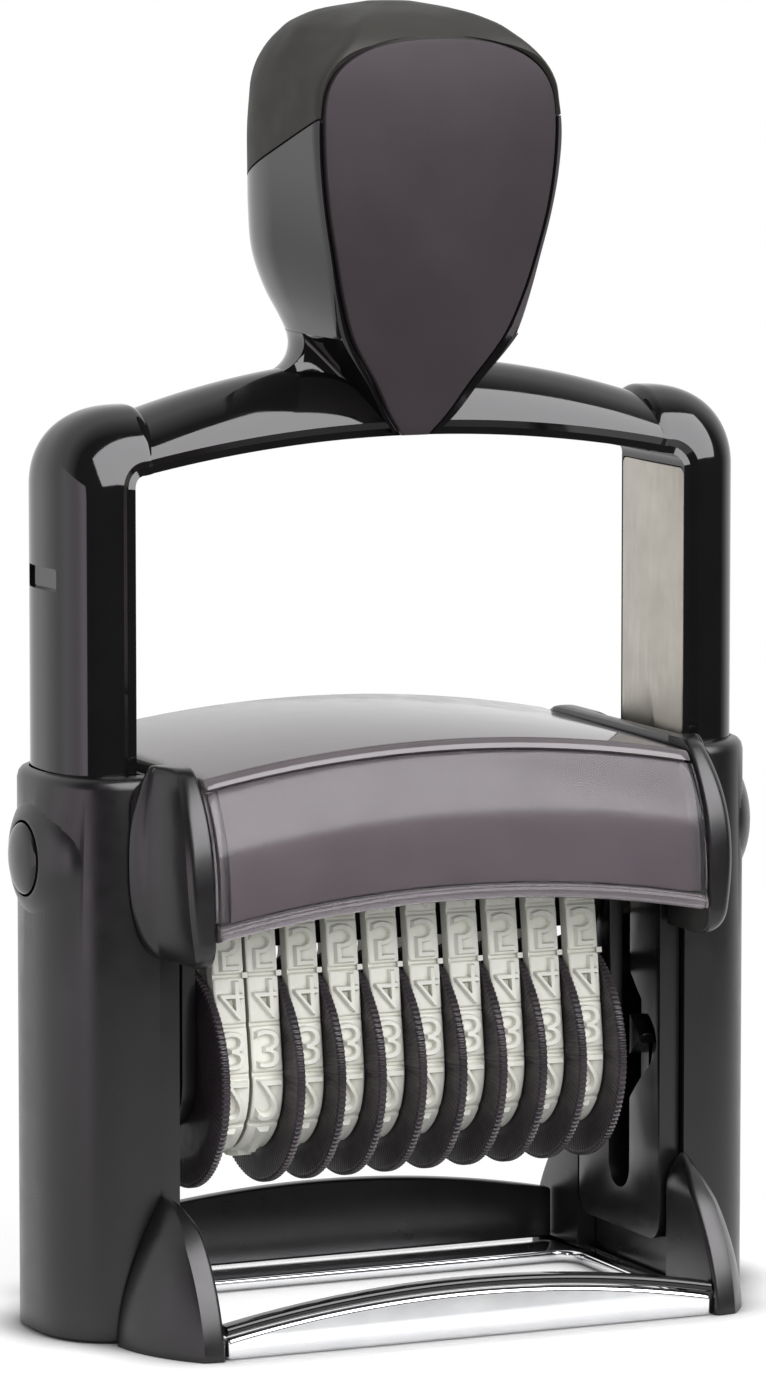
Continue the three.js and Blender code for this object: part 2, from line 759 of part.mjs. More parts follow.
function buildCover() {
  const lens_top = cover_edge_z - lens_top_gap;
  const roof_under_z = cover_edge_z - cover_wall;
  const shell = [
    ...frontCurve(cover_lower_z + bead_height + gap, lens_top + gap, lens_stack, round_steps),
    ...frontCurve(lens_top + gap, cover_edge_z, 0, 1),
    [cover_rear_y - cover_wall, cover_rear_z],
    [cover_rear_y, cover_rear_z - cover_wall],
    [cover_rear_y, cover_rear_z - cover_wall - cover_rear_lip],
    [cover_rear_y - cover_wall, cover_rear_z - cover_wall - cover_rear_lip],
    [cover_rear_y - 2 * cover_wall, cover_rear_z - cover_wall],
    [-cover_edge_y + lens_stack + cover_wall, roof_under_z],
    ...frontCurve(cover_lower_z + bead_height + gap, roof_under_z - cover_wall,
      lens_stack + cover_wall, round_steps).reverse(),
  ];
  place('cover', crowned(prismX(shell.reverse(), -bay_half_width, bay_half_width, fine_steps)), smoke_grey);

  const lens = [
    ...frontCurve(cover_lower_z + bead_height, lens_top, 0, round_steps),
    ...frontCurve(cover_lower_z + bead_height, lens_top, lens_thick, round_steps).reverse(),
    [coverFront(cover_lower_z) + lens_stack, cover_lower_z + bead_height],
    [coverFront(cover_lower_z) + lens_stack, cover_lower_z],
    [coverFront(cover_lower_z) - bead_depth + gap, cover_lower_z],
    [coverFront(cover_lower_z) - bead_depth, cover_lower_z + gap],
    [coverFront(cover_lower_z) - bead_depth, cover_lower_z + bead_height],
  ];
  place('index_window', crowned(prismX(lens.reverse(), -bay_half_width, bay_half_width, fine_steps)),
    clear_plastic);

  const slip_front = lens_thick + gap;
  const slip_bottom = cover_lower_z + bead_height + gap;
  const slip = [
    ...frontCurve(slip_bottom, lens_top - gap, slip_front, round_steps),
    ...frontCurve(slip_bottom, lens_top - gap, slip_front + slip_thick, round_steps).reverse(),
  ];
  const slip_half = bay_half_width - cover_wall;
  place('index_slip', crowned(prismX(slip.reverse(), -slip_half, slip_half, fine_steps)), card_grey);

  const panel_top = face_rest_z + tray_lift - ledge_thick - 2 * gap;
  const panel = evenBox(cover_rear_y - cover_wall, cover_rear_y, cover_lower_z, panel_top, cover_wall / 3);
  place('rear_panel', prismX(panel, -bay_half_width, bay_half_width), smoke_grey);
}

// End cheeks: rounded pods in front of and behind each column, joined above the axle slot
function buildCheeks() {
  const rear_y = cover_rear_y;
  const plan = roundedBox(cheek_inner_x, cheek_outer_x, -cheek_front_y, rear_y,
    [0, cheek_plan_round, cheek_plan_round, 0]);
  const side = evenBox(-cheek_front_y, rear_y, cheek_bottom_z, cheek_top_z, cheek_edge_round);
  const front = roundedBox(cheek_inner_x - overrun, cheek_outer_x, cheek_bottom_z, cheek_top_z,
    [0, cheek_edge_round, cheek_edge_round, 0]);
  const grown = dSection(column_inner_x - gap, column_outer_x + gap, column_half_depth + gap);
  const underside = box(cheek_inner_x - overrun, cheek_outer_x + overrun, -column_half_depth - gap,
    column_half_depth + gap, cheek_bottom_z - overrun, web_bottom_z);
  const ledge_top = face_rest_z + tray_lift - gap;
  const ledge = box(ledge_inner_x, cheek_inner_x + gap, -tray_front_y, rear_y - cover_wall,
    ledge_top - ledge_thick, ledge_top);
  const pod = solid(prismZ(plan, cheek_bottom_z - overrun, cheek_top_z + overrun))
    .intersect(solid(prismX(side, cheek_inner_x - overrun, cheek_outer_x + overrun)))
    .intersect(solid(prismY(front, -cheek_front_y - overrun, rear_y + overrun)))
    .subtract(solid(prismZ(grown, cheek_bottom_z - overrun, cheek_top_z + overrun)))
    .subtract(solid(underside))
    .add(solid(ledge));
  placePair('cheek', geometryOf(pod), satin_black);
}

function buildPad() {
  const low = face_rest_z + tray_lift;
  const high = low + tray_height;
  const plate_front = cover_rear_y - pad_grip_thick;
  const body = solid(box(-tray_half_width, tray_half_width, -tray_front_y, plate_front + gap, low, high));
  const grip_half = bay_half_width - gap;
  const grip = solid(box(-grip_half, grip_half, plate_front, cover_rear_y, low - gap, high));
  const recess = solid(box(-felt_half_width - gap, felt_half_width + gap, -felt_half_depth - gap,
    felt_half_depth + gap, low - overrun, low + felt_depth));
  place('pad_tray', geometryOf(body.add(grip).subtract(recess)), satin_black);
  const felt_low = face_rest_z + paper_gap;
  const felt = evenBox(-felt_half_width, felt_half_width, -felt_half_depth, felt_half_depth, felt_corner);
  place('ink_pad', prismZ(felt, felt_low, low + felt_depth - gap), felt_blue);
}

// Centre line of the band loop at an offset inside the type faces, as [y, z] with outward normals
function loopPath(offset) {
  const radius = type_outer_radius - offset;
  const top_z = face_rest_z - offset;
  const slope = Math.atan2(face_rest_z - shoulder_z, shoulder_half_depth - bridge_half_depth);
  const bridge_y = bridge_half_depth - offset * Math.tan(slope / 2);
  const lean = Math.asin((type_outer_radius - shoulder_half_depth) / (shoulder_z - wheel_z));
  const corner = (Math.PI / 2 - slope - lean) / 2;
  const bisector = slope + corner;
  const reach = offset / Math.cos(corner);
  const shoulder = [
    shoulder_half_depth - reach * Math.sin(bisector),
    shoulder_z - reach * Math.cos(bisector),
  ];
  const distance = Math.hypot(shoulder[0], shoulder[1] - wheel_z);
  const start = Math.atan2(shoulder[1] - wheel_z, shoulder[0]) - Math.acos(radius / distance);
  const start_deg = THREE.MathUtils.radToDeg(start);
  return [
    [0, top_z],
    [bridge_y, top_z],
    shoulder,
    ...arc(0, wheel_z, radius, start_deg, -half_turn - start_deg, wheel_steps),
    [-shoulder[0], shoulder[1]],
    [-bridge_y, top_z],
    [0, top_z],
  ];
}

// A point and its outward normal at a distance along a path that runs clockwise from the top
function along(path, distance) {
  let left = distance;
  for (let i = 0; i + 1 < path.length; i += 1) {
    const step_y = path[i + 1][0] - path[i][0];
    const step_z = path[i + 1][1] - path[i][1];
    const length = Math.hypot(step_y, step_z);
    if (left <= length) {
      const share = left / length;
      return {
        point: [path[i][0] + step_y * share, path[i][1] + step_z * share],
        normal: [-step_z / length, step_y / length],
      };
    }
    left -= length;
  }
  return { point: path.at(-1), normal: [0, 1] };
}

function pathLength(path) {
  return path.slice(1).reduce((sum, [y, z], i) => sum + Math.hypot(y - path[i][0], z - path[i][1]), 0);
}

// Band: a loop with one raised block for each character
function bandGeometry(low_x, high_x) {
  const base = loopPath(type_height);
  const length = pathLength(base);
  const pitch = length / segment_count;
  const outline = [];
  for (let k = 0; k < segment_count; k += 1) {
    const begin = (k + 0.5) * pitch;
    for (const [share, raised] of [[-1, false], [-1, true], [1, true], [1, false]]) {
      const edge = begin + pitch / 2 + share * (pitch - type_notch) / 2;
      const spot = along(base, edge % length);
      const lift = raised ? type_height : 0;
      outline.push([spot.point[0] + spot.normal[0] * lift, spot.point[1] + spot.normal[1] * lift]);
    }
  }
  const inner = loopPath(type_height + band_thick).slice(1, -1);
  const outer_solid = solid(prismX(outline.reverse(), low_x, high_x));
  const coarse = inner.filter((_, i) => i < 3 || i > inner.length - 4 || i % inner_stride === 0);
  const inner_solid = solid(prismX(coarse.reverse(), low_x - overrun, high_x + overrun));
  return geometryOf(outer_solid.subtract(inner_solid));
}

// Wheel: a grip disc with the hub that carries its band, in one piece
function wheelGeometry(disc_low, disc_high, hub_low, hub_high) {
  const bore = wheel_axle_radius + running_gap;
  const hub_first = hub_low < disc_low;
  const near = hub_first ? hub_low : disc_low;
  const far = hub_first ? disc_high : hub_high;
  const near_radius = hub_first ? hub_radius : disc_radius;
  const far_radius = hub_first ? disc_radius : hub_radius;
  const step_x = hub_first ? disc_low : disc_high;
  const profile = [[bore, near], [near_radius, near], [near_radius, step_x], [far_radius, step_x],
    [far_radius, far], [bore, far], [bore, near]];
  const lathe = new THREE.LatheGeometry(profile.map(([r, x]) => new THREE.Vector2(r, x)), wheel_steps);
  return lathe.rotateZ(-Math.PI / 2).translate(0, 0, wheel_z);
}

function buildPrintingUnit() {
  for (let n = 1; n <= band_count; n += 1) {
    const label = String(n).padStart(2, '0');
    const first = n === 1;
    const cell_low = (n - 1) * cell_pitch - stack_half;
    const band_low = cell_low + (first ? disc_thick + side_gap : 2 * side_gap);
    const band_high = band_low + band_width;
    const disc_low = first ? -stack_half : band_high + side_gap;
    const disc_high = disc_low + disc_thick;
    const hub_low = first ? disc_high - side_gap : band_low;
    const hub_high = first ? band_high : disc_low + side_gap;
    place(`band_${label}`, bandGeometry(band_low, band_high), band_white);
    place(`wheel_${label}`, wheelGeometry(disc_low, disc_high, hub_low, hub_high), satin_black);
  }

  const arm_low = stack_half + gap;
  const arm_high = arm_low + arm_thick;
  const arm_outline = roundedBox(-arm_half_depth, arm_half_depth, wheel_z - arm_half_depth, arm_top_z,
    [arm_half_depth, arm_half_depth, arm_thick, arm_thick]);
  const pin_end = bay_half_width + cam_groove_depth - gap;
  const arm = solid(prismX(arm_outline, arm_low, arm_high))
    .add(solid(rodX(pin_radius, arm_high - gap, pin_end, 0, axle_rest_z - pin_offset)))
    .subtract(solid(rodX(flip_axle_radius + running_gap, 0, pin_end + overrun, 0, axle_rest_z)))
    .subtract(solid(rodX(wheel_axle_radius + running_gap, 0, pin_end + overrun, 0, wheel_z)));
  placePair('side_arm', geometryOf(arm), satin_black);

  const wheel_axle = rodX(wheel_axle_radius, -arm_high, arm_high, 0, wheel_z);
  place('wheel_axle', wheel_axle, steel);
  const axle_end = liner_inner_x + liner_thick - gap;
  place('flip_axle', rodX(flip_axle_radius, -axle_end, axle_end, 0, axle_rest_z), steel);

  const seat = type_height + band_thick + gap;
  const path = loopPath(seat);
  const [, bridge_edge, bridge_shoulder] = path;
  const foot_z = axle_rest_z - flip_axle_radius - running_gap - gap;
  const bridge = solid(prismX([
    [-bridge_edge[0], bridge_edge[1]],
    [-bridge_shoulder[0], bridge_shoulder[1]],
    [-bridge_shoulder[0], axle_rest_z],
    [-arm_half_depth / 2, foot_z],
    [arm_half_depth / 2, foot_z],
    [bridge_shoulder[0], axle_rest_z],
    [bridge_shoulder[0], bridge_shoulder[1]],
    [bridge_edge[0], bridge_edge[1]],
  ], -stack_half, stack_half));
  const bore_radius = flip_axle_radius + running_gap;
  const axle_bore = solid(rodX(bore_radius, -stack_half - overrun, stack_half + overrun, 0, axle_rest_z));
  place('print_bridge', geometryOf(bridge.subtract(axle_bore)), satin_black);
}

// Cam plates: a through slot for the flip axle and a blind groove that turns the printing unit
function buildCams() {
  const low_x = bay_half_width;
  const high_x = low_x + cam_thick;
  const outline = evenBox(-cam_half_depth, cam_half_depth, cam_bottom_z, cam_top_z, cam_thick);
  const groove_radius = pin_radius + cam_clearance;
  const rail = [];
  for (let i = 0; i <= fine_steps; i += 1) {
    const turn = (Math.PI * i) / fine_steps;
    const axle_z = axle_rest_z - (stroke * i) / fine_steps;
    rail.push([-pin_offset * Math.sin(turn), axle_z - pin_offset * Math.cos(turn)]);
  }
  const sides = rail.map(([y, z], i) => {
    const before = rail[Math.max(i - 1, 0)];
    const after = rail[Math.min(i + 1, fine_steps)];
    const length = Math.hypot(after[0] - before[0], after[1] - before[1]);
    const normal = [(after[1] - before[1]) / length, -(after[0] - before[0]) / length];
    return [[y + normal[0] * groove_radius, z + normal[1] * groove_radius],
      [y - normal[0] * groove_radius, z - normal[1] * groove_radius]];
  });
  const groove_outline = [...sides.map(([a]) => a), ...sides.map(([, b]) => b).reverse()];
  const plate = solid(prismX(outline, low_x, high_x))
    .subtract(solid(prismX(axleSlot(), low_x - overrun, high_x + overrun)))
    .subtract(solid(prismX(groove_outline, low_x - overrun, low_x + cam_groove_depth)))
    .subtract(solid(rodX(groove_radius, low_x - overrun, low_x + cam_groove_depth, ...rail[0])))
    .subtract(solid(rodX(groove_radius, low_x - overrun, low_x + cam_groove_depth, ...rail.at(-1))));
  placePair('cam_plate', geometryOf(plate), satin_black);
}

// Return spring: one unbroken helix in each column's pocket, under the leg
function springGeometry(centre_x) {
  const low = column_floor_z + gap + spring_wire / 2;
  const high = leg_bottom_z - gap - spring_wire / 2;
  const steps = spring_turns * curl_steps;
  const centres = [];
  for (let i = 0; i <= steps; i += 1) {
    const turn = (2 * Math.PI * i) / curl_steps;
    centres.push(new THREE.Vector3(
      centre_x + spring_radius * Math.cos(turn),
      spring_radius * Math.sin(turn),
      low + ((high - low) * i) / steps,
    ));
  }
  let least = Infinity;
  centres.forEach((a, i) => {
    for (let j = i + curl_steps / 2; j <= steps; j += 1) {
      least = Math.min(least, a.distanceTo(centres[j]) - spring_wire);
    }
  });
  const positions = [];
  centres.forEach((centre, i) => {
    const turn = (2 * Math.PI * i) / curl_steps;
    const outward = new THREE.Vector3(Math.cos(turn), Math.sin(turn), 0);
    for (let side = 0; side < wire_sides; side += 1) {
      const angle = (2 * Math.PI * side) / wire_sides;
      const offset = outward.clone().multiplyScalar(Math.cos(angle) * spring_wire / 2);
      positions.push(centre.x + offset.x, centre.y + offset.y, centre.z + Math.sin(angle) * spring_wire / 2);
    }
  });
  const index = [];
  for (let i = 0; i < steps; i += 1) {
    for (let side = 0; side < wire_sides; side += 1) {
      const next = (side + 1) % wire_sides;
      const a = i * wire_sides + side;
      const b = i * wire_sides + next;
      const c = b + wire_sides;
      const d = a + wire_sides;
      index.push(a, c, b, a, d, c);
    }
  }
  for (let side = 1; side + 1 < wire_sides; side += 1) {
    const last = steps * wire_sides;
    index.push(0, side, side + 1);
    index.push(last, last + side + 1, last + side);
  }
  const geometry = new THREE.BufferGeometry();
  geometry.setAttribute('position', new THREE.Float32BufferAttribute(positions, 3));
  geometry.setIndex(index);
  return { geometry, least };
}

function buildSprings() {
  const liner_x = liner_inner_x + liner_thick + gap;
  const { geometry, least } = springGeometry((liner_x + leg_outer_x - relief_depth) / 2);
  console.log(`return spring: least gap to itself ${least.toFixed(2)} mm`);
  placePair('return_spring', geometry, steel);
}

buildBase();
buildFeet();
buildColumns();
buildButtons();
buildYoke();
buildGrip();
buildCover();
buildCheeks();
buildPad();
buildPrintingUnit();
buildCams();
buildSprings();

export default machine;
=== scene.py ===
import math
from contextlib import contextmanager
from types import SimpleNamespace as Sizes

import bmesh
import bpy
import numpy as np
from mathutils import Matrix, Vector


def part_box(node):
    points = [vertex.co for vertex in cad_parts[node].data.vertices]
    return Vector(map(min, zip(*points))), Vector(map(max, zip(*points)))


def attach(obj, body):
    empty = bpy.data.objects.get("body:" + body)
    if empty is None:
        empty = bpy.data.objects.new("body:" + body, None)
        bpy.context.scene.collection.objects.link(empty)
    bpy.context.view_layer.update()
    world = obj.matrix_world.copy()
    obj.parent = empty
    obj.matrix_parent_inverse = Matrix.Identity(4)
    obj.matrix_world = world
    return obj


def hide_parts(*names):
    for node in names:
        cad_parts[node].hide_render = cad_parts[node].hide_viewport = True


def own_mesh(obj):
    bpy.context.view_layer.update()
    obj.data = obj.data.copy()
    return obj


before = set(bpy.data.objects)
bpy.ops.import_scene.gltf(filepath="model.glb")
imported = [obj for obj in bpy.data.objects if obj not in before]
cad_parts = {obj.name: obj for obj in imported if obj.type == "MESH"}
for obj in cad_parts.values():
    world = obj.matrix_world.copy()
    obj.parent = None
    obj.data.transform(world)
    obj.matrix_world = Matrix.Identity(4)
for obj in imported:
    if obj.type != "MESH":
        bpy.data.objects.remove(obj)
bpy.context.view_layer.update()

MM = 0.001
GAP = 0.3
WHITE = (1, 1, 1, 1)
SIDES = (("right", 1), ("left", -1))


def box_of(node):
    """Lowest and highest corner of a CAD node, in millimetres."""
    low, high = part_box(node)
    return np.array(low) / MM, np.array(high) / MM


# Materials by name. Their noise is sized in millimetres, and their colours are as on screen.
MATERIALS = {}
NOISE_SPAN = (0.3, 0.7)
METAL_MOTTLE, METAL_GRAIN = 6, 0.002


def srgb(red, green, blue):
    """A colour as it shows on screen, 0 to 255, as the shader's linear colour."""
    shares = [value / 255 for value in (red, green, blue)]
    linear = [s / 12.92 if s <= 0.04045 else ((s + 0.055) / 1.055) ** 2.4 for s in shares]
    return (*linear, 1.0)


class Nodes:
    """A node tree, with short calls for what is made in it."""

    def __init__(self, tree):
        self.tree = tree

    def node(self, kind, inputs=None, **settings):
        made = self.tree.nodes.new(f"ShaderNode{kind}")
        for key, value in settings.items():
            setattr(made, key, value)
        return self.feed(made, inputs or {})

    def feed(self, node, inputs):
        """Gives a node's inputs their values, or links from other nodes' outputs."""
        for key, value in inputs.items():
            if isinstance(value, bpy.types.NodeSocket):
                self.tree.links.new(value, node.inputs[key])
            else:
                node.inputs[key].default_value = value
        return node

    def compute(self, operation, first, second):
        return self.node("Math", {0: first, 1: second}, operation=operation).outputs[0]

    def rays(self, *kinds):
        """1 for the named kinds of rays and 0 for all others."""
        outputs = self.node("LightPath").outputs
        flag = outputs[f"Is {kinds[0]} Ray"]
        for kind in kinds[1:]:
            flag = self.compute("MAXIMUM", flag, outputs[f"Is {kind} Ray"])
        return flag

    def remap(self, value, source, target=(0, 1), **settings):
        """A value whose source range becomes the target range."""
        ends = zip(("From Min", "From Max", "To Min", "To Max"), (*source, *target))
        return self.node("MapRange", {"Value": value, **dict(ends)}, **settings).outputs["Result"]


class Recipe(Nodes):
    """One Principled material whose colour, gloss and bumps come from noise."""

    def __init__(self, name):
        MATERIALS[name] = self.material = bpy.data.materials.new(name)
        self.material.use_nodes = True
        super().__init__(self.material.node_tree)
        self.shader = self.tree.nodes["Principled BSDF"]
        self.place = self.node("TexCoord").outputs["Object"]

    def noise(self, size, detail, stretch=(1, 1, 1)):
        """Noise between 0 and 1 whose features are about size millimetres wide."""
        mapping = self.node("Mapping", {"Vector": self.place, "Scale": stretch})
        return self.node("TexNoise", {"Vector": mapping.outputs["Vector"], "Detail": detail,
                                      "Scale": 1 / (size * MM)}).outputs["Fac"]

    def ramp(self, fac, *stops):
        """The colour that a ramp of two (position, colour) stops has at a factor."""
        made = self.node("ValToRGB", {"Fac": fac})
        for element, (position, colour) in zip(made.color_ramp.elements, stops):
            element.position, element.color = position, colour
        return made.outputs["Color"]

    def colour(self, dark, light, fac):
        stops = zip(NOISE_SPAN, (srgb(*dark), srgb(*light)))
        self.feed(self.shader, {"Base Color": self.ramp(fac, *stops)})

    def roughness(self, ends, fac):
        self.feed(self.shader, {"Roughness": self.remap(fac, NOISE_SPAN, ends)})

    def bump(self, height, fac):
        made = self.node("Bump", {"Strength": 1.0, "Distance": height * MM, "Height": fac})
        self.feed(self.shader, {"Normal": made.outputs["Normal"]})


def moulded(name, dark, light, rough, grain, grain_height, mottle=9, specular=0.5):
    """Moulded plastic: slight mottling in colour and gloss, and a fine grain."""
    recipe = Recipe(name)
    recipe.colour(dark, light, recipe.noise(mottle, 3))
    recipe.roughness(rough, recipe.noise(mottle / 3, 4))
    recipe.bump(grain_height, recipe.noise(grain, 3))
    recipe.feed(recipe.shader, {"Specular IOR Level": specular})


def metal(name, dark, light, rough, streak, stretch=(1, 1, 1)):
    """Metal: mottled, or brushed along one direction."""
    recipe = Recipe(name)
    recipe.colour(dark, light, recipe.noise(METAL_MOTTLE, 4))
    recipe.roughness(rough, recipe.noise(streak, 4, stretch))
    recipe.bump(METAL_GRAIN, recipe.noise(streak / 2, 3, stretch))
    recipe.feed(recipe.shader, {"Metallic": 1.0})


def felt(name):
    recipe = Recipe(name)
    recipe.colour((26, 28, 40), (44, 44, 60), recipe.noise(2.5, 5))
    recipe.bump(0.25, recipe.noise(0.25, 6))
    recipe.feed(recipe.shader, {"Roughness": 0.95, "Sheen Weight": 0.5})


def inked_rubber(name):
    """Off-white rubber with painted shade: an ambient occlusion mask darkens its recesses towards a
    greyer colour.
    """
    recipe = Recipe(name)
    recipe.colour((238, 238, 228), (246, 246, 238), recipe.noise(7, 3))
    clean = recipe.shader.inputs["Base Color"].links[0].from_socket
    # Painted shade: the occlusion mask blends the recesses towards the grey-beige colour below, where
    # shade falls.
    hollow = recipe.node("AmbientOcclusion", {"Distance": 0.9 * MM}, samples=6)
    painted_shade = recipe.ramp(hollow.outputs["AO"], (0.25, srgb(165, 163, 152)), (0.8, WHITE))
    mix = recipe.node("Mix", {"Factor": 1.0, "A": clean, "B": painted_shade}, data_type="RGBA",
                      blend_type="MULTIPLY")
    recipe.feed(recipe.shader, {"Base Color": mix.outputs["Result"]})
    recipe.roughness((0.5, 0.62), recipe.noise(2.3, 4))
    recipe.bump(0.012, recipe.noise(0.3, 3))


def clear(name):
    recipe = Recipe(name)
    recipe.roughness((0.1, 0.15), recipe.noise(5, 3))
    recipe.bump(0.02, recipe.noise(18, 1))
    recipe.feed(recipe.shader, {"Base Color": srgb(226, 224, 226), "Transmission Weight": 1.0,
                                "IOR": 1.3})


# Name, dark and light colour and roughness, then a plastic's grain and its height or a metal's streaks
moulded("gloss_black", (20, 19, 20), (24, 23, 24), (0.05, 0.085), 14, 0.006)
moulded("satin_black", (15, 13, 15), (20, 18, 20), (0.27, 0.33), 0.16, 0.006, specular=0.55)
moulded("wheel_black", (42, 37, 41), (58, 51, 56), (0.36, 0.5), 0.2, 0.014, mottle=4)
moulded("soft_grip", (51, 50, 47), (57, 56, 53), (0.5, 0.6), 0.12, 0.01, mottle=12, specular=0.2)
moulded("plate_grey", (60, 54, 58), (66, 60, 64), (0.45, 0.55), 0.1, 0.008, mottle=11, specular=0.15)
moulded("smoke_plastic", (104, 98, 101), (112, 105, 109), (0.07, 0.12), 14, 0.004)
moulded("card", (96, 87, 92), (104, 95, 100), (0.6, 0.75), 0.3, 0.01)
metal("chrome", (241, 242, 244), (248, 248, 249), (0.09, 0.13), 5)
metal("steel", (172, 167, 158), (187, 182, 173), (0.3, 0.42), 0.7, (1, 1, 0.12))
metal("spring_steel", (150, 150, 150), (180, 180, 178), (0.2, 0.3), 0.5)
clear("clear_plastic")
inked_rubber("band_rubber")
felt("felt")


# Meshes. Angles are in degrees. Points are welded within metres, and a glyph's in the font's units.
SHARP, FLAT = 32, 1.5
WELD, CAD_WELD, GLYPH_WELD = 1e-6, 2e-6, 1e-5


def dress(piece, body, slot, nodes=()):
    piece.data.materials.clear()
    piece.data.materials.append(MATERIALS[slot])
    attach(piece, body)
    if nodes:
        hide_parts(*nodes)
    return piece


def link(name, data):
    made = bpy.data.objects.new(name, data)
    bpy.context.scene.collection.objects.link(made)
    return made


@contextmanager
def editing(mesh, outwards=False):
    """A mesh opened for changes, which are written back at the end, if asked with faces outwards."""
    work = bmesh.new()
    work.from_mesh(mesh)
    yield work
    if outwards:
        bmesh.ops.recalc_face_normals(work, faces=work.faces)
    work.to_mesh(mesh)
    work.free()


def shade(piece, angle=SHARP):
    piece.data.shade_smooth()
    piece.data.set_sharp_from_angle(angle=math.radians(angle))
    return piece


def solid(name, points, faces):
    """An object from points in millimetres, with its faces turned outwards."""
    mesh = bpy.data.meshes.new(name)
    mesh.from_pydata((np.asarray(points, float) * MM).tolist(), [], faces)
    with editing(mesh, outwards=True) as work:
        bmesh.ops.remove_doubles(work, verts=work.verts, dist=WELD)
    return shade(link(name, mesh))


def loft_data(rings, capped=True):
    """Points and faces of a surface through rings with equal counts."""
    count, faces = len(rings[0]), []
    for base in range(0, (len(rings) - 1) * count, count):
        for i in range(count):
            j = (i + 1) % count
            faces.append((base + i, base + j, base + count + j, base + count + i))
    if capped:
        faces.append(tuple(range(count))[::-1])
        faces.append(tuple(range((len(rings) - 1) * count, len(rings) * count)))
    return np.vstack(rings), faces


def loft(name, rings):
    return solid(name, *loft_data(rings))


def prism(name, outline, low, high, axis):
    """A prism along an axis; the outline is in the two other axes, in their order X, Y, Z."""
    rings = np.zeros((2, len(outline), 3))
    rings[:, :, [k for k in range(3) if k != axis]] = outline
    rings[0, :, axis], rings[1, :, axis] = low, high
    return loft(name, rings)


def joined(name, parts):
    """One object from several (points, faces) groups, kept as separate shells."""
    points, faces, start = [], [], 0
    for part_points, part_faces in parts:
        points.append(part_points)
        faces += [tuple(i + start for i in face) for face in part_faces]
        start += len(part_points)
    return solid(name, np.vstack(points), faces)


def bake(piece):
    graph = bpy.context.evaluated_depsgraph_get()
    mesh = bpy.data.meshes.new_from_object(piece.evaluated_get(graph))
    old = piece.data
    piece.modifiers.clear()
    piece.data = mesh
    bpy.data.meshes.remove(old)
    return piece


def bevel(piece, width, segments=3, angle=40):
    step = piece.modifiers.new("bevel", "BEVEL")
    step.width = width * MM
    step.segments = segments
    step.limit_method = "ANGLE"
    step.angle_limit = math.radians(angle)
    return shade(bake(piece), 45)


def combine(piece, operation, others):
    for other in others:
        step = piece.modifiers.new("combine", "BOOLEAN")
        step.operation = operation
        step.solver = "EXACT"
        step.object = other
        bake(piece)
        bpy.data.objects.remove(other)
    return shade(piece)


def cut(piece, *others):
    return combine(piece, "DIFFERENCE", others)


def fuse(piece, *others):
    return combine(piece, "UNION", others)


def remeshed(piece, voxel, smoothing):
    step = piece.modifiers.new("remesh", "REMESH")
    step.mode = "VOXEL"
    step.voxel_size = voxel * MM
    ease = piece.modifiers.new("ease", "SMOOTH")
    ease.factor = 0.5
    ease.iterations = smoothing
    return bake(piece)


def mirror(piece, name):
    mesh = piece.data.copy()
    mesh.transform(Matrix.Diagonal((-1, 1, 1, 1)))
    mesh.flip_normals()
    return link(name, mesh)


def dress_pair(piece, left_name, body, slot, node):
    """Dresses a right piece and its mirror image; {} stands for the side in body and node."""
    pieces = piece, mirror(piece, left_name)
    for made, (side, _) in zip(pieces, SIDES):
        dress(made, body.format(side), slot, [node.format(side)])


def cad_copy(node, name=None):
    """A fresh object with a CAD node's mesh, welded and with its flat faces made whole."""
    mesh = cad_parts[node].data.copy()
    with editing(mesh, outwards=True) as work:
        bmesh.ops.remove_doubles(work, verts=work.verts, dist=CAD_WELD)
        bmesh.ops.dissolve_limit(work, angle_limit=math.radians(FLAT), verts=work.verts,
                                 edges=work.edges)
    return link(name or f"{node}_fine", mesh)


def fine(node, body, slot, width, segments=2):
    """A CAD node's own shape with rounded edges, which replaces it."""
    return dress(bevel(cad_copy(node), width, segments), body, slot, [node])


def bisect(work, point, normal, **sides):
    """Cuts a mesh that is being edited along a plane."""
    return bmesh.ops.bisect_plane(work, geom=work.verts[:] + work.edges[:] + work.faces[:],
                                  plane_co=[c * MM for c in point], plane_no=normal, **sides)


def arc(a, b, radius, start, end, steps):
    angles = np.radians(np.linspace(start, end, steps + 1))
    return np.stack([a + radius * np.cos(angles), b + radius * np.sin(angles)], 1)


def rounded(a0, a1, b0, b1, radius, steps=8):
    """A rectangle's outline with round corners."""
    corners = ((a0 + radius, b0 + radius, 180), (a1 - radius, b0 + radius, 270),
               (a1 - radius, b1 - radius, 0), (a0 + radius, b1 - radius, 90))
    return np.vstack([arc(a, b, radius, start, start + 90, steps) for a, b, start in corners])


def circle(x, radius, centre_z, steps):
    """A circle about the X axis."""
    angles = np.linspace(0, 2 * np.pi, steps, endpoint=False)
    return np.stack([np.full(steps, x), radius * np.cos(angles), centre_z + radius * np.sin(angles)], 1)


def lathe(name, profile, centre_z, steps=64):
    """A solid turned about an X axis; the profile is (x, radius) from one end to the other."""
    return loft(name, [circle(x, radius, centre_z, steps) for x, radius in profile])


def at_height(section, z):
    """A flat (x, y) outline as points in space."""
    return np.column_stack([section, np.full(len(section), z)])


def between(start, end, steps):
    """The inner points of a straight line in equal steps."""
    return start + (end - start) * np.linspace(0, 1, steps + 1)[1:-1, None]


def bowed(start, end, steps, bow):
    """A line's points, moved to its right by a bow that is given for their shares of its length."""
    start, end = np.array(start), np.array(end)
    share, length = np.linspace(0, 1, steps + 1)[:, None], np.linalg.norm(end - start)
    normal = np.array([end[1] - start[1], start[0] - end[0]]) / max(length, 1e-6)
    return start + (end - start) * share + normal * bow(share, length)


def power(value, exponent):
    return np.sign(value) * np.abs(value) ** exponent


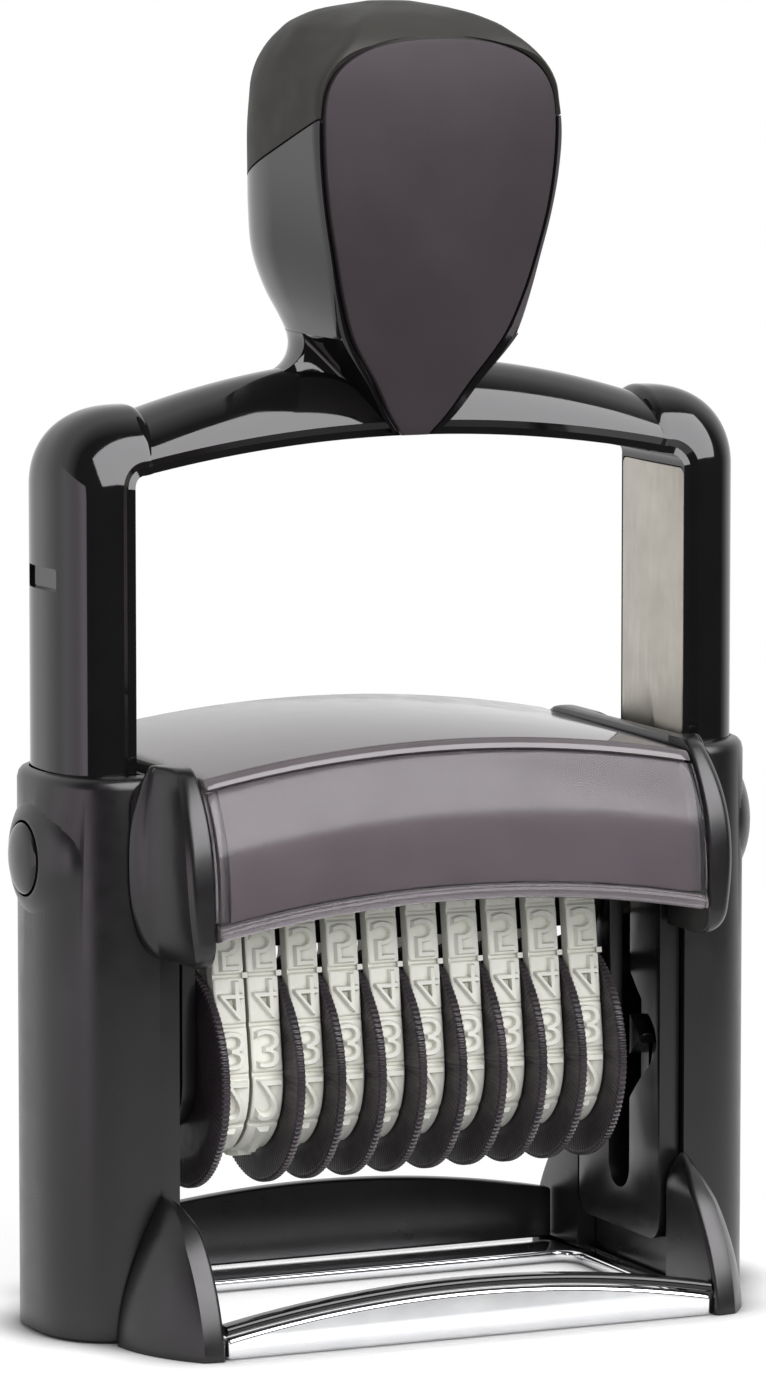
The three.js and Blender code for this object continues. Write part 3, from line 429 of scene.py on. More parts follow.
def smooth_table(at, xs, ys):
    """Catmull-Rom values of a table at given places."""
    xs, ys, at = np.asarray(xs, float), np.asarray(ys, float), np.asarray(at, float)
    slopes = np.gradient(ys, xs)
    k = np.clip(np.searchsorted(xs, at) - 1, 0, len(xs) - 2)
    width = xs[k + 1] - xs[k]
    t = (at - xs[k]) / width
    return ((2 * t**3 - 3 * t**2 + 1) * ys[k] + (t**3 - 2 * t**2 + t) * width * slopes[k]
            + (3 * t**2 - 2 * t**3) * ys[k + 1] + (t**3 - t**2) * width * slopes[k + 1])


# Yoke: two leg tubes that bend over at the shoulders, and the arch between them
LEG_LOW_Z = box_of("yoke")[0][2]
LEG_OUT = box_of("yoke")[1][0]
LEG_IN = box_of("leg_liner_right")[0][0]
LEG_DEPTH = 9.8
LEG_EXPONENT = 2.5
LEG_FOOT = Sizes(out=46.0, top=64.4, exponent=3.2)
LINER = Sizes(half=8.95, low=46.0, corner=0.9, thick=1.1, rim=0.75, room=1.2)
NOTCH = Sizes(y=4.5, low=97.7 - 1.45, high=97.7 + 1.45, corner=0.35, floor=47.55)
SHOULDER_RISE, SHOULDER_EXPONENT = 10.3, 2.4
TUBE_END = Sizes(share=0.38, reach=3.0, lift=0.4)
ARCH_DEPTH = 8.6
END_DEPTH = ARCH_DEPTH + 0.15
ARCH_UNDER = 111.0
ARCH_RISE = 3.8
ARCH_TOP = 124.3
ARCH_DROP = 0.0045
ARCH_EXPONENT = 2.3
TAPER = 0.3
FILLET = 1.8
PLATE_TOP = ARCH_UNDER - FILLET
CHAMFER = Sizes(width=0.95, drops=(0.6, 0.7))


def d_ring(inner, outer, depth, exponent=LEG_EXPONENT, taper=0.0):
    """The yoke's section from an inner to an outer point (x, z), with its inner edges chamfered."""
    inner, outer = np.asarray(inner, float), np.asarray(outer, float)
    edge = CHAMFER.width / np.linalg.norm(outer - inner)
    angles = np.linspace(-np.pi / 2, np.pi / 2, 44)
    across = power(np.cos(angles), 2 / exponent)
    y = depth * power(np.sin(angles), 2 / exponent) * (1 - taper * across)
    across = 2 * edge + (1 - 2 * edge) * across
    first, second = (depth - drop for drop in CHAMFER.drops)
    places = [(0.0, -first), (edge, -second), *zip(across, y), (edge, second), (0.0, first)]
    spots = [(inner + (outer - inner) * share, v) for share, v in places]
    return [(x, v, z) for (x, z), v in spots]


def arch_crest(x):
    return ARCH_TOP - ARCH_DROP * x * x


def arch_under(x, half):
    return ARCH_UNDER + ARCH_RISE * (1 - (x / half) ** 2)


def build_yoke():
    pivot = np.array([LEG_IN - FILLET, ARCH_UNDER - FILLET])
    rings = [d_ring((LEG_IN, z), (LEG_FOOT.out, z), LEG_DEPTH, LEG_FOOT.exponent)
             for z in (LEG_LOW_Z, LEG_FOOT.top)]
    for z in np.linspace(LEG_FOOT.top + 0.2, pivot[1] - 1, 12):
        rings.append(d_ring((LEG_IN, z), (LEG_OUT, z), LEG_DEPTH))
    for turn in np.radians(np.linspace(0, 90, 26)):
        c, s = way = np.array([math.cos(turn), math.sin(turn)])
        bend = s**1.5
        stretch = (abs(c / (LEG_OUT - pivot[0])) ** SHOULDER_EXPONENT
                   + abs(s / SHOULDER_RISE) ** SHOULDER_EXPONENT) ** (-1 / SHOULDER_EXPONENT)
        rings.append(d_ring(pivot + FILLET * way, pivot + stretch * way,
                            LEG_DEPTH + (END_DEPTH - LEG_DEPTH) * bend, taper=TAPER * bend))
    for step in np.linspace(0, 1, 9)[1:]:
        shrink = math.sqrt(1 - step**2) * (1 - TUBE_END.share) + TUBE_END.share
        x, low = pivot[0] - TUBE_END.reach * step, ARCH_UNDER + TUBE_END.lift * step
        top = low + (pivot[1] + SHOULDER_RISE - ARCH_UNDER) * shrink
        rings.append(d_ring((x, low), (x, top), END_DEPTH * shrink, taper=TAPER))
    leg = loft("leg_tube", rings)
    room = rounded(LINER.rim - LEG_DEPTH, LEG_DEPTH - LINER.rim, LEG_LOW_Z - 5, PLATE_TOP, 0.8, 3)
    notch = rounded(-NOTCH.y, NOTCH.y, NOTCH.low, NOTCH.high, NOTCH.corner, 4)
    cut(leg, prism("liner_room", room, LEG_IN - 2, LEG_IN + LINER.room, 0),
        prism("notch", notch, NOTCH.floor, 60, 0))
    left = mirror(leg, "leg_tube_left")

    half = LEG_IN - FILLET
    yoke = loft("yoke_moulding", [
        d_ring((x, arch_under(x, half)), (x, arch_crest(x)), ARCH_DEPTH, ARCH_EXPONENT, TAPER)
        for x in np.linspace(0.2 - half, half - 0.2, 65)])
    dress(shade(fuse(yoke, leg, left), 28), "handle", "gloss_black", ["yoke"])


# Grip: sections from the saddle up, as shares of its height, half-width and depths
GRIP = {
    "height": [0, 0.06, 0.105, 0.178, 0.288, 0.417, 0.535, 0.665, 0.726, 0.78, 0.847, 0.91, 0.952,
               0.98, 1],
    "width": [0.73, 0.71, 0.76, 0.86, 0.965, 0.995, 1, 1, 0.99, 0.98, 0.92, 0.8, 0.66, 0.46, 0.16],
    "face": [0.6, 0.7, 0.745, 0.79, 0.845, 0.92, 0.97, 0.99, 0.975, 0.955, 0.85, 0.68, 0.54, 0.36, 0.1],
    "front": [0.78, 0.815, 0.835, 0.88, 0.94, 0.98, 1, 1, 0.99, 0.98, 0.965, 0.88, 0.71, 0.5, 0.2],
    "rear": [0.77, 0.77, 0.81, 0.9, 0.97, 1, 1, 0.99, 0.97, 0.94, 0.89, 0.76, 0.62, 0.42, 0.1],
    "plate_height": [0, 0.04, 0.13, 0.25, 0.36, 0.47, 0.58, 0.68, 0.77, 0.85],
    "plate_width": [0.111, 0.215, 0.395, 0.65, 0.78, 0.87, 0.945, 0.985, 1, 1],
}
GRIP_SIZE = {"width": 17.5, "face": 17.5, "front": 17.6, "rear": 15.5}
GRIP_LOW, GRIP_TOP = ARCH_TOP + GAP, 170.35
GRIP_CORNER = 1.2
BACK_EXPONENT = 2.67
FLANK_Y = -2.0
SEAM_Z, SEAM_SLOPE = 156.3, 0.34
TONGUE_SHRINK, TONGUE_HALF = 0.95, 1.0
PLATE_LOW, PLATE_HIGH = 114.9, 166.1
PLATE_HALF = 16.2
PLATE_THICK = 1.2
PLATE_FACE = Sizes(low=9.9, lean=7.0, bulge=13.0)
PLATE_WIDEST = 0.77
PLATE_CROWN = (3.2, 2.3)
PLATE_ROWS, CROWN_ROWS = 80, 35
PLATE_LAYERS = [(0, PLATE_THICK), (0, 0.45), (-0.12, 0.16), (-0.75, 0.0)]
RECESS_LAYERS = [(3.2, -3.0), (1.1, 0.0), (0.3, 0.75), (0.3, PLATE_THICK + GAP)]
NECK_SHARE = 0.072
WEDGE_LOW = PLATE_LOW + 0.25
WEDGE_HIGH = GRIP_LOW + (GRIP_TOP - GRIP_LOW) * NECK_SHARE
WEDGE = Sizes(tip_half=2.6, spread=9.85, tip_y=-8.7, rim=1.2, flare=0.6, plug=0.6)
SADDLE = Sizes(overlap=0.04, inset=(0.4, 0.5, 0.3), sink=0.4, back=(1.6, 0.75), back_y=7.4,
               tip_half=3.2, spread=16.8, flank_y=1.5, front=6.9, narrow=0.95, waist=0.4)


def grip_size(key, share):
    return float(smooth_table(share, GRIP["height"], GRIP[key])) * GRIP_SIZE[key]


def round_back(width, rear, flank):
    """The rear half of a section, from the right flank round to the left one."""
    turn = np.linspace(0, np.pi, 61)
    return np.column_stack([width * power(np.cos(turn), 2 / BACK_EXPONENT),
                            flank + (rear - flank) * power(np.sin(turn), 2 / BACK_EXPONENT)])


def grip_ring(share):
    """The grip's section at a share of its height: a flat front, straight sides and a round back."""
    width, face, front, rear = (grip_size(key, share) for key in GRIP_SIZE)
    radius = min(GRIP_CORNER, 0.45 * face)
    back = round_back(width, rear, max(FLANK_Y, -front / 2))
    left = arc(radius - face, radius - front, radius, 200, 270, 6)
    right = arc(face - radius, radius - front, radius, 270, 340, 6)
    section = np.vstack([left, between(left[-1], right[0], 10), right, between(right[-1], back[0], 12),
                         back, between(back[-1], left[0], 12)])
    return at_height(section, GRIP_LOW + (GRIP_TOP - GRIP_LOW) * share)


def plate_share(z):
    return (z - PLATE_LOW) / (PLATE_HIGH - PLATE_LOW)


def plate_half(share):
    return PLATE_HALF * smooth_table(share, GRIP["plate_height"], GRIP["plate_width"])


def plate_front(z):
    share = plate_share(z)
    return -(PLATE_FACE.low + PLATE_FACE.lean * share + PLATE_FACE.bulge * share * (1 - share))


def plate_rows(extra):
    """Half-widths and heights of the plate's outline, grown by an extra all round."""
    lower = np.linspace(0, PLATE_WIDEST, PLATE_ROWS - CROWN_ROWS, endpoint=False)
    turn = np.linspace(0, np.radians(85), CROWN_ROWS)
    rise, narrow = np.sin(turn) ** (2 / PLATE_CROWN[0]), np.cos(turn) ** (2 / PLATE_CROWN[1])
    shares = np.concatenate([lower, PLATE_WIDEST + (1 - PLATE_WIDEST) * rise])
    right = np.column_stack([np.concatenate([plate_half(lower), PLATE_HALF * narrow]),
                             PLATE_LOW + (PLATE_HIGH - PLATE_LOW) * shares])
    ahead = np.gradient(right, axis=0)
    ahead[0], ahead[-1] = (1, 0.35), (-1, 0.35)
    normal = np.column_stack([ahead[:, 1], -ahead[:, 0]])
    return right + extra * normal / np.linalg.norm(normal, axis=1, keepdims=True)


def shield(name, layers):
    """A slab with the plate's outline, through layers of (extra, depth behind the plate's face)."""
    points, faces, rows = [], [], PLATE_ROWS
    for extra, depth in layers:
        right = plate_rows(extra)
        for sign in (1, -1):
            y = plate_front(right[:, 1]) + depth
            points.append(np.column_stack([sign * right[:, 0], y, right[:, 1]]))
    loop = [*range(rows), *range(2 * rows - 1, rows - 1, -1)]
    last = 2 * rows * (len(layers) - 1)
    for base in range(0, last, 2 * rows):
        over = base + 2 * rows
        for i, j in zip(loop, loop[1:] + loop[:1]):
            faces.append((base + i, base + j, over + j, over + i))
    for base in (0, last):
        for i in range(base, base + rows - 1):
            faces.append((i, i + 1, rows + i + 1, rows + i))
    return solid(name, np.vstack(points), faces)


def seam_cut(piece, shift, keep_upper):
    """Cuts a piece along the seam under the cap, moved up by a shift, and closes the cut."""
    point, normal = (0, -GRIP_SIZE["front"], SEAM_Z + shift), Vector((0, SEAM_SLOPE, 1)).normalized()
    with editing(piece.data, outwards=True) as work:
        made = bisect(work, point, normal, clear_outer=not keep_upper, clear_inner=keep_upper)
        edges = [item for item in made["geom_cut"] if isinstance(item, bmesh.types.BMEdge)]
        bmesh.ops.holes_fill(work, edges=edges, sides=0)


def wedge_edge(shares):
    """The left edge where the wedge behind the plate meets the arch, from the tip up to the neck."""
    shares = np.asarray(shares, float)
    return np.column_stack([-(WEDGE.tip_half + WEDGE.spread * shares),
                            WEDGE.tip_y + (FLANK_Y - WEDGE.tip_y) * shares**1.2,
                            WEDGE_LOW + (WEDGE_HIGH - WEDGE_LOW) * shares])


def grip_wedge():
    """The wedge that carries the plate's lower half in front of the arch, plugged into the neck."""
    rings = []
    for z in [*np.linspace(WEDGE_LOW, WEDGE_HIGH, 28), WEDGE_HIGH + WEDGE.plug]:
        up = min((z - WEDGE_LOW) / (WEDGE_HIGH - WEDGE_LOW), 1)
        half, front = float(plate_half(plate_share(z))) + WEDGE.rim, plate_front(z)
        if z <= WEDGE_HIGH:
            half += WEDGE.flare * up**2
        else:
            half, front = half + 0.2, front + 0.6
        rear = wedge_edge([up])[0]
        corners = [(-half, front), (half, front), (-rear[0], rear[1]), (rear[0], rear[1])]
        rings.append(at_height(corners, z))
    return loft("grip_wedge", rings)


def grip_saddle():
    """The flared foot between the grip's neck and the arch."""
    neck_width, neck_rear = (grip_size(key, NECK_SHARE) + SADDLE.overlap for key in ("width", "rear"))
    back = at_height(round_back(neck_width, neck_rear, FLANK_Y), WEDGE_HIGH)
    shares = np.linspace(1, 0, 25)
    left = wedge_edge(shares) + np.array(SADDLE.inset) * (1 - shares[:, None])
    neck = np.vstack([back, left, left[::-1] * (-1, 1, 1)])
    stretch, flatten = SADDLE.back
    back_foot = np.column_stack([back[:, 0] * stretch,
                                 np.clip(back[:, 1] * flatten, -SADDLE.back_y, SADDLE.back_y)])
    left_foot = np.column_stack([-(SADDLE.tip_half + SADDLE.spread * shares**1.1),
                                 -SADDLE.flank_y - SADDLE.front * (1 - shares**3) ** 0.8])
    plan = np.vstack([back_foot, left_foot, left_foot[::-1] * (-1, 1)])
    heights = np.linspace(0, 1, 60)
    depths = ARCH_DEPTH * (1 - heights**ARCH_EXPONENT) ** (1 / ARCH_EXPONENT) * (1 - TAPER * heights)
    level = []
    for x, y in plan:
        under = arch_under(x, LEG_IN)
        share = np.interp(-abs(y), -depths, heights)
        level.append(under + (arch_crest(x) - under) * share - SADDLE.sink)
    foot = np.column_stack([plan * (1, SADDLE.narrow), level])
    rings = []
    for step in np.linspace(0, 1, 25):
        out, down = step**2.6, 1 - (1 - step) ** 1.5
        waist = 1 - SADDLE.waist * step * (1 - step) ** 4
        rings.append((neck + (foot - neck) * (out, out, down)) * (waist, waist, 1))
    return shade(loft("grip_foot", rings), 35)


def build_grip():
    top = 0.9 + 0.1 * np.sin(np.linspace(0, np.pi / 2, 18))
    shares = [*np.linspace(NECK_SHARE, 0.9, 52), *top[1:]]
    body = loft("grip_whole", [grip_ring(share) for share in shares])
    cut(fuse(body, grip_wedge()), shield("recess", RECESS_LAYERS))
    cap = link("grip_cap_skin", body.data.copy())
    tongue = link("seam_tongue", body.data.copy())
    for vertex in tongue.data.vertices:
        vertex.co.x *= TONGUE_SHRINK
        vertex.co.y *= TONGUE_SHRINK
    body.name = "grip_body_skin"
    seam_cut(body, -GAP / 2, False)
    seam_cut(cap, GAP / 2, True)
    seam_cut(tongue, TONGUE_HALF, False)
    seam_cut(tongue, -TONGUE_HALF, True)
    dress(shade(fuse(body, tongue), 25), "handle", "gloss_black", ["grip_body"])
    dress(shade(cap, 25), "handle", "soft_grip", ["grip_cap"])
    dress(grip_saddle(), "handle", "gloss_black")
    plate = shield("plate_face", PLATE_LAYERS)
    dress(shade(plate, 20), "handle", "plate_grey", ["front_plate"])


# Cover: the front face is a bulged curve, and everything rises to the middle of the width
COVER = Sizes(edge_z=73.3, edge_y=19.8, low_z=53.3, low_y=25.7, bulge=3.2, crown=3.4, half=34.3,
              wall=1.8, rear_y=25.5, rear_z=74.0, rear_lip=1.1, stack=2.2, lens=1.1, lens_top=71.7,
              bead=1.1)
SHELL_LOW = COVER.low_z + 1.9
LENS_LOW = COVER.low_z + 1.6


def cover_front(z):
    """The face is upright below and curves back more and more above."""
    share = (np.asarray(z, float) - COVER.low_z) / (COVER.edge_z - COVER.low_z)
    return -(COVER.low_y + (COVER.edge_y - COVER.low_y) * np.clip(share, 0, None) ** COVER.bulge)


def front_curve(low, high, offset, steps=12):
    z = np.linspace(low, high, steps + 1)
    return np.column_stack([cover_front(z) + offset, z])


def crowned_prism(name, outline, half, width):
    """A prism across the width with round edges, which rises to the middle."""
    piece = bevel(prism(name, outline, -half, half, 0), width, 2, 35)
    with editing(piece.data) as work:
        for x in np.linspace(-half, half, 50)[1:-1]:
            bisect(work, (x, 0, 0), (1, 0, 0))
        for vertex in work.verts:
            vertex.co.z += COVER.crown * (1 - (vertex.co.x / MM / COVER.half) ** 2) * MM
    return shade(piece)


def build_cover():
    half, wall, stack, low, edge = COVER.half, COVER.wall, COVER.stack, COVER.low_z, COVER.edge_z
    rear_y, rear_z, lip_z = COVER.rear_y, COVER.rear_z, COVER.rear_z - COVER.wall - COVER.rear_lip
    shell = np.vstack([
        front_curve(SHELL_LOW, COVER.lens_top + GAP, stack),
        front_curve(COVER.lens_top + GAP, edge, 0, 2),
        [(rear_y - wall, rear_z), (rear_y, rear_z - wall), (rear_y, lip_z), (rear_y - wall, lip_z),
         (rear_y - 2 * wall, rear_z - wall), (-COVER.edge_y + stack + wall, edge - wall)],
        front_curve(SHELL_LOW, edge - 2 * wall, stack + wall)[::-1],
    ])
    bead_y = cover_front(low)
    lens = np.vstack([
        front_curve(LENS_LOW, COVER.lens_top, 0),
        front_curve(LENS_LOW, COVER.lens_top, COVER.lens)[::-1],
        [(bead_y + COVER.bead, LENS_LOW), (bead_y + COVER.bead, low)],
        arc(bead_y + 0.3, low + 0.8, 0.8, 270, 120, 8),
    ])
    rail = rounded(bead_y + COVER.bead + 0.02, bead_y + stack + wall, low - 0.25, low + 1.7, 0.2, 3)
    slip = np.vstack([front_curve(SHELL_LOW, COVER.lens_top - GAP, 1.4),
                      front_curve(SHELL_LOW, COVER.lens_top - GAP, 1.9)[::-1]])
    for name, outline, reach, width, slot, nodes in (
            ("cover_shell", shell, half, 0.35, "smoke_plastic", ["cover"]),
            ("window_lens", lens, half, 0.12, "clear_plastic", ["index_window"]),
            ("window_rail", rail, half, 0.1, "smoke_plastic", []),
            ("index_card", slip, half - wall, 0.06, "card", ["index_slip"])):
        dress(crowned_prism(name, outline, reach, width), "housing", slot, nodes)
    fine("rear_panel", "housing", "smoke_plastic", 0.3)


# Feet and cheeks: sizes of those on the right, which are mirrored to the left
FOOT = Sizes(inner=34.7, front=28.0, back=13.3, height=19.0, last=0.985, slope=(1.6, 0.6), lean=0.2,
             width=0.88, narrow=0.62, nose=0.7, crest=0.3, bow=0.09, plate=(37.4, 25.3, 1.9))


def foot_shape(name, width, ridge, facing):
    """A fin: a narrow front face, a crisp ridge and a slightly bulged outer face."""
    rings, back = [], -FOOT.back
    for turn in np.linspace(0, FOOT.last, 34) * np.pi / 2:
        up = math.sin(turn)
        front = -FOOT.front + (FOOT.front - FOOT.back) * (1 - (1 - up**FOOT.slope[0]) ** FOOT.slope[1])
        near = FOOT.inner + FOOT.lean * width * max(4 * up - 3, 0) ** 2
        reach = FOOT.inner + width * (FOOT.width - FOOT.narrow * up**1.75) - near
        edge, room = min(ridge, 0.55 * reach), back - front
        nose = min(FOOT.nose, 0.3 * room, 0.4 * edge)
        crest = (near + edge, front + min(FOOT.crest, 0.1 * room))
        outside = bowed(crest, (near + reach, back), 18,
                        lambda share, length: FOOT.bow * length * 4 * share * (1 - share))
        corner = arc(near + nose, front + nose, nose, 180, 270, 5)
        rings.append(at_height(np.vstack([[(near, back)], corner, outside]), FOOT.height * up))
    piece = loft(name, rings)
    plate_x, plate_y, plate_top = FOOT.plate
    notch = rounded(FOOT.inner - 5, plate_x, -plate_y, 25, 0.01, 1)
    cut(piece, prism("plate_corner", notch, -5, plate_top, 2))
    if facing < 0:
        piece.data.transform(Matrix.Diagonal((1, -1, 1, 1)))
        piece.data.flip_normals()
    return bevel(piece, 0.3, 3, 24)


CHEEK = Sizes(inner=34.7, outer=41.5, low=49.6, high=74.6, join=-13.3, round=3.4, top_round=1.1,
              behind=0.25, ridge=(3.7, 0.8), corner=0.7, band=1.3, dish=1.5, lip=(0.78, 0.55),
              narrow=2.7)


def cheek_pod(name):
    """The front half of an end cheek: a front band, a crisp ridge and a dished outer face."""
    inner, join, low, high = CHEEK.inner, CHEEK.join, CHEEK.low, CHEEK.high
    below, above = CHEEK.round, CHEEK.top_round
    turn = np.linspace(0, np.pi / 2, 12)
    levels = [*(low + below * (1 - np.cos(turn))), *np.linspace(low + below, high - above, 40)[1:-1],
              *(high - above + above * np.sin(turn))]
    rings = []
    for z in levels:
        rise, drop = max(1 - (z - low) / below, 0), max(1 - (high - z) / above, 0)
        inset = below * (1 - math.sqrt(1 - rise**2)) + above * (1 - math.sqrt(max(1 - drop**2, 0)))
        front = float(cover_front(z)) + CHEEK.behind + inset
        middle = (2 * z - low - high) / (high - low)
        ridge = inner + CHEEK.ridge[0] - 1.3 * middle**2 - 0.3 * inset
        far = CHEEK.outer + 0.2 - CHEEK.narrow * abs(middle) ** 2.4 - 0.5 * inset
        dish = CHEEK.dish * (1 - abs(middle) ** 2.5)

        def bow(share, _):
            start, height = CHEEK.lip
            lip = height * np.clip((share - start) / (1 - start), 0, 1) * (1 - share) * 9
            return lip - dish * 4 * share * (1 - share)

        rings.append(at_height(np.vstack([
            [(inner, join)], arc(inner + CHEEK.corner, front + CHEEK.corner, CHEEK.corner, 180, 270, 5),
            arc(ridge - CHEEK.band, front + CHEEK.band, CHEEK.band, 275, 318, 5),
            bowed((ridge, front + CHEEK.ridge[1]), (far, join), 28, bow)]), z))
    return shade(loft(name, rings), 24)


def build_cheeks_and_feet():
    rest = remeshed(cad_copy("cheek_right", "cheek_rest_right"), 0.45, 6)
    front_room = rounded(CHEEK.inner - 0.05, 50, -35, CHEEK.join - 0.02, 0.01, 1)
    cut(rest, prism("front_room", front_room, 40, 80, 2)).data.shade_smooth()
    pod = cheek_pod("cheek_pod_right")
    for piece, left_name in ((rest, "cheek_rest_left"), (pod, "cheek_pod_left")):
        dress_pair(piece, left_name, "housing", "satin_black", "cheek_{}")
    for end, width, ridge, facing in (("front", 10.1, 2.9, 1), ("rear", 5.4, 1.6, -1)):
        foot = foot_shape(f"foot_{end}_fin", width, ridge, facing)
        dress_pair(foot, f"foot_{end}_fin_left", "housing", "satin_black", f"foot_{end}_{{}}")


# Columns: D-shaped towers with a collar round the leg, a flared boss and an axle slot
COLUMN = Sizes(inner=37.4, outer=50.0, depth=13.0, top=73.0, rim=1.15, play=0.35)
BOSS = Sizes(z=61.7, low=45.4, height=5.35, end=50.8, rim=5.25, hole=4.95, radius=5.4, flare=4.9,
             turn=62)
BUTTON = Sizes(radius=4.6, low=51.9 - 1.15, latch=(2.5, 1.1), dome=[
    (51.12, 4.48), (51.28, 4.2), (51.45, 3.7), (51.6, 3.05), (51.74, 2.2), (51.84, 1.3), (51.89, 0.6),
    (51.9, 0.1)])
AXLE_SLOT = Sizes(half=3.1, low=15.4, high=51.4)


def d_outline(inner, outer, depth):
    angles = np.linspace(-np.pi / 2, np.pi / 2, 49)
    return np.column_stack([inner + (outer - inner) * power(np.cos(angles), 0.8),
                            depth * power(np.sin(angles), 0.8)])


def build_columns():
    top = COLUMN.top
    tower = loft("column_skin_right", [
        at_height(d_outline(COLUMN.inner + inset * 0.3, COLUMN.outer - inset, COLUMN.depth - inset), z)
        for z, inset in ((0, 0.5), (0.5, 0), (20, 0), (45, 0), (top - 1.6, 0), (top - 0.8, 0.2),
                         (top - 0.3, 0.6), (top, 1.3))])
    last = math.radians(BOSS.turn)
    dome = [(BOSS.low + BOSS.height * math.sin(t) / math.sin(last),
             BOSS.radius + BOSS.flare * (math.cos(t) - math.cos(last)) / (1 - math.cos(last)))
            for t in np.linspace(0, last, 16)]
    fuse(tower, lathe("boss", [*dome, (BOSS.end, BOSS.rim)], BOSS.z, 96))
    pocket = d_outline(COLUMN.inner + COLUMN.rim, LEG_OUT + COLUMN.play, LEG_DEPTH + COLUMN.play)
    half = AXLE_SLOT.half
    slot = rounded(-half, half, AXLE_SLOT.low - half, AXLE_SLOT.high + half, half)
    cut(tower, prism("pocket", pocket, 4, top + 5, 2),
        lathe("hole", [(LEG_OUT, BOSS.hole), (60, BOSS.hole)], BOSS.z),
        prism("slot", slot, COLUMN.inner - 5, COLUMN.inner + 1.5, 0))
    dress_pair(shade(tower, 30), "column_skin_left", "housing", "satin_black", "column_{}")

    low, (wide, tall) = BUTTON.low, BUTTON.latch
    profile = [(low - 0.6, 4.2), (low, BUTTON.radius), (50.95, BUTTON.radius), *BUTTON.dome]
    button = lathe("button_face_right", profile, BOSS.z, 72)
    latch = rounded(-wide, wide, BOSS.z - tall, BOSS.z + tall, 0.2, 3)
    fuse(button, prism("latch", latch, low - 1.8, low + 0.2, 0))
    dress_pair(button, "button_face_left", "lock_button_{}", "gloss_black", "button_{}")


# Base: a bright frame and strip, and the black rim bar and rear wall
STRIP = Sizes(top=2.7, rise=3.4, front=-27.4, back=-25.3)
RIM = Sizes(gap=0.3, height=1.3, back=-24.6, round=0.62)
REAR_WALL = Sizes(low=1.9, top=8.6, rise=3.6, front=20.6, back=22.6)


def arched_bar(half, low, high, rise):
    """The outline of a bar with a straight lower and an arched upper edge."""
    share = np.linspace(-1, 1, 41)
    lower = np.column_stack([half * share, low + 0 * share])
    upper = np.column_stack([half * share, high + rise * (1 - share**2)])
    return np.vstack([lower, upper[::-1]])


def build_base():
    half = COVER.half
    strip = prism("strip_face", arched_bar(half, 0, STRIP.top, STRIP.rise), STRIP.front, STRIP.back, 1)
    dress(bevel(strip, 0.55, 4, 30), "housing", "chrome", ["front_strip"])
    rings = []
    for share in np.linspace(-1, 1, 41):
        rise = STRIP.top + RIM.gap + STRIP.rise * (1 - share**2)
        bar = rounded(STRIP.front, RIM.back, rise, rise + RIM.height, RIM.round, 6)
        rings.append([(half * share, y, z) for y, z in bar])
    dress(loft("rim_bar", rings), "housing", "gloss_black", ["front_rim"])
    outline = arched_bar(half, REAR_WALL.low, REAR_WALL.top, REAR_WALL.rise)
    wall = prism("rear_wall_arch", outline, REAR_WALL.front, REAR_WALL.back, 1)
    dress(bevel(wall, 0.4, 3, 30), "housing", "satin_black", ["rear_wall"])
    fine("base_frame", "housing", "chrome", 0.35)


# Bands: a loop of rubber with a raised block and digit for each number
CELL = 5.75
BAND_WIDTH = 4.3
BAND_THICK, GROOVE = 1.3, 0.4
STACK_HALF = 29.325
WHEEL_Z = 32.0
FACE_Z = 66.5
BRIDGE_HALF = 3.4
SHOULDER_Y, SHOULDER_Z = 7.4, 58.0
TYPE_RADIUS, TYPE_HEIGHT = 11.0, 1.5
SEGMENTS = 16
DIGIT_WIDTH, DIGIT_HEIGHT, DIGIT_LIFT = 3.55, 5.25, 0.7
ONE_SHARE = 0.55
TOP_DIGIT = 8
NIB = Sizes(rows=(3, 11), half=0.35, profile=((-0.3, 0.1), (0.5, 0.2), (0.5, 0.75), (-0.3, 0.85)))
DISC_RADIUS, DISC_THICK, DISC_GAP = 14.7, 1.15, 0.15
HUB_RADIUS, BORE = 7.9, 2.1
TEETH, TOOTH_DEPTH, RIDGE = 128, 0.34, 0.09


def loop_path(offset):
    """The band's loop inside the type faces, clockwise from the top centre."""
    radius, top = TYPE_RADIUS - offset, FACE_Z - offset
    slope = math.atan2(FACE_Z - SHOULDER_Z, SHOULDER_Y - BRIDGE_HALF)
    bridge_y = BRIDGE_HALF - offset * math.tan(slope / 2)
    lean = math.asin((TYPE_RADIUS - SHOULDER_Y) / (SHOULDER_Z - WHEEL_Z))
    corner = (math.pi / 2 - slope - lean) / 2
    reach = offset / math.cos(corner)
    y, z = SHOULDER_Y - reach * math.sin(slope + corner), SHOULDER_Z - reach * math.cos(slope + corner)
    start = math.degrees(math.atan2(z - WHEEL_Z, y) - math.acos(radius / math.hypot(y, z - WHEEL_Z)))
    turn = arc(0, WHEEL_Z, radius, start, -180 - start, 60)
    return np.vstack([[(0, top), (bridge_y, top), (y, z)], turn, [(-y, z), (-bridge_y, top), (0, top)]])


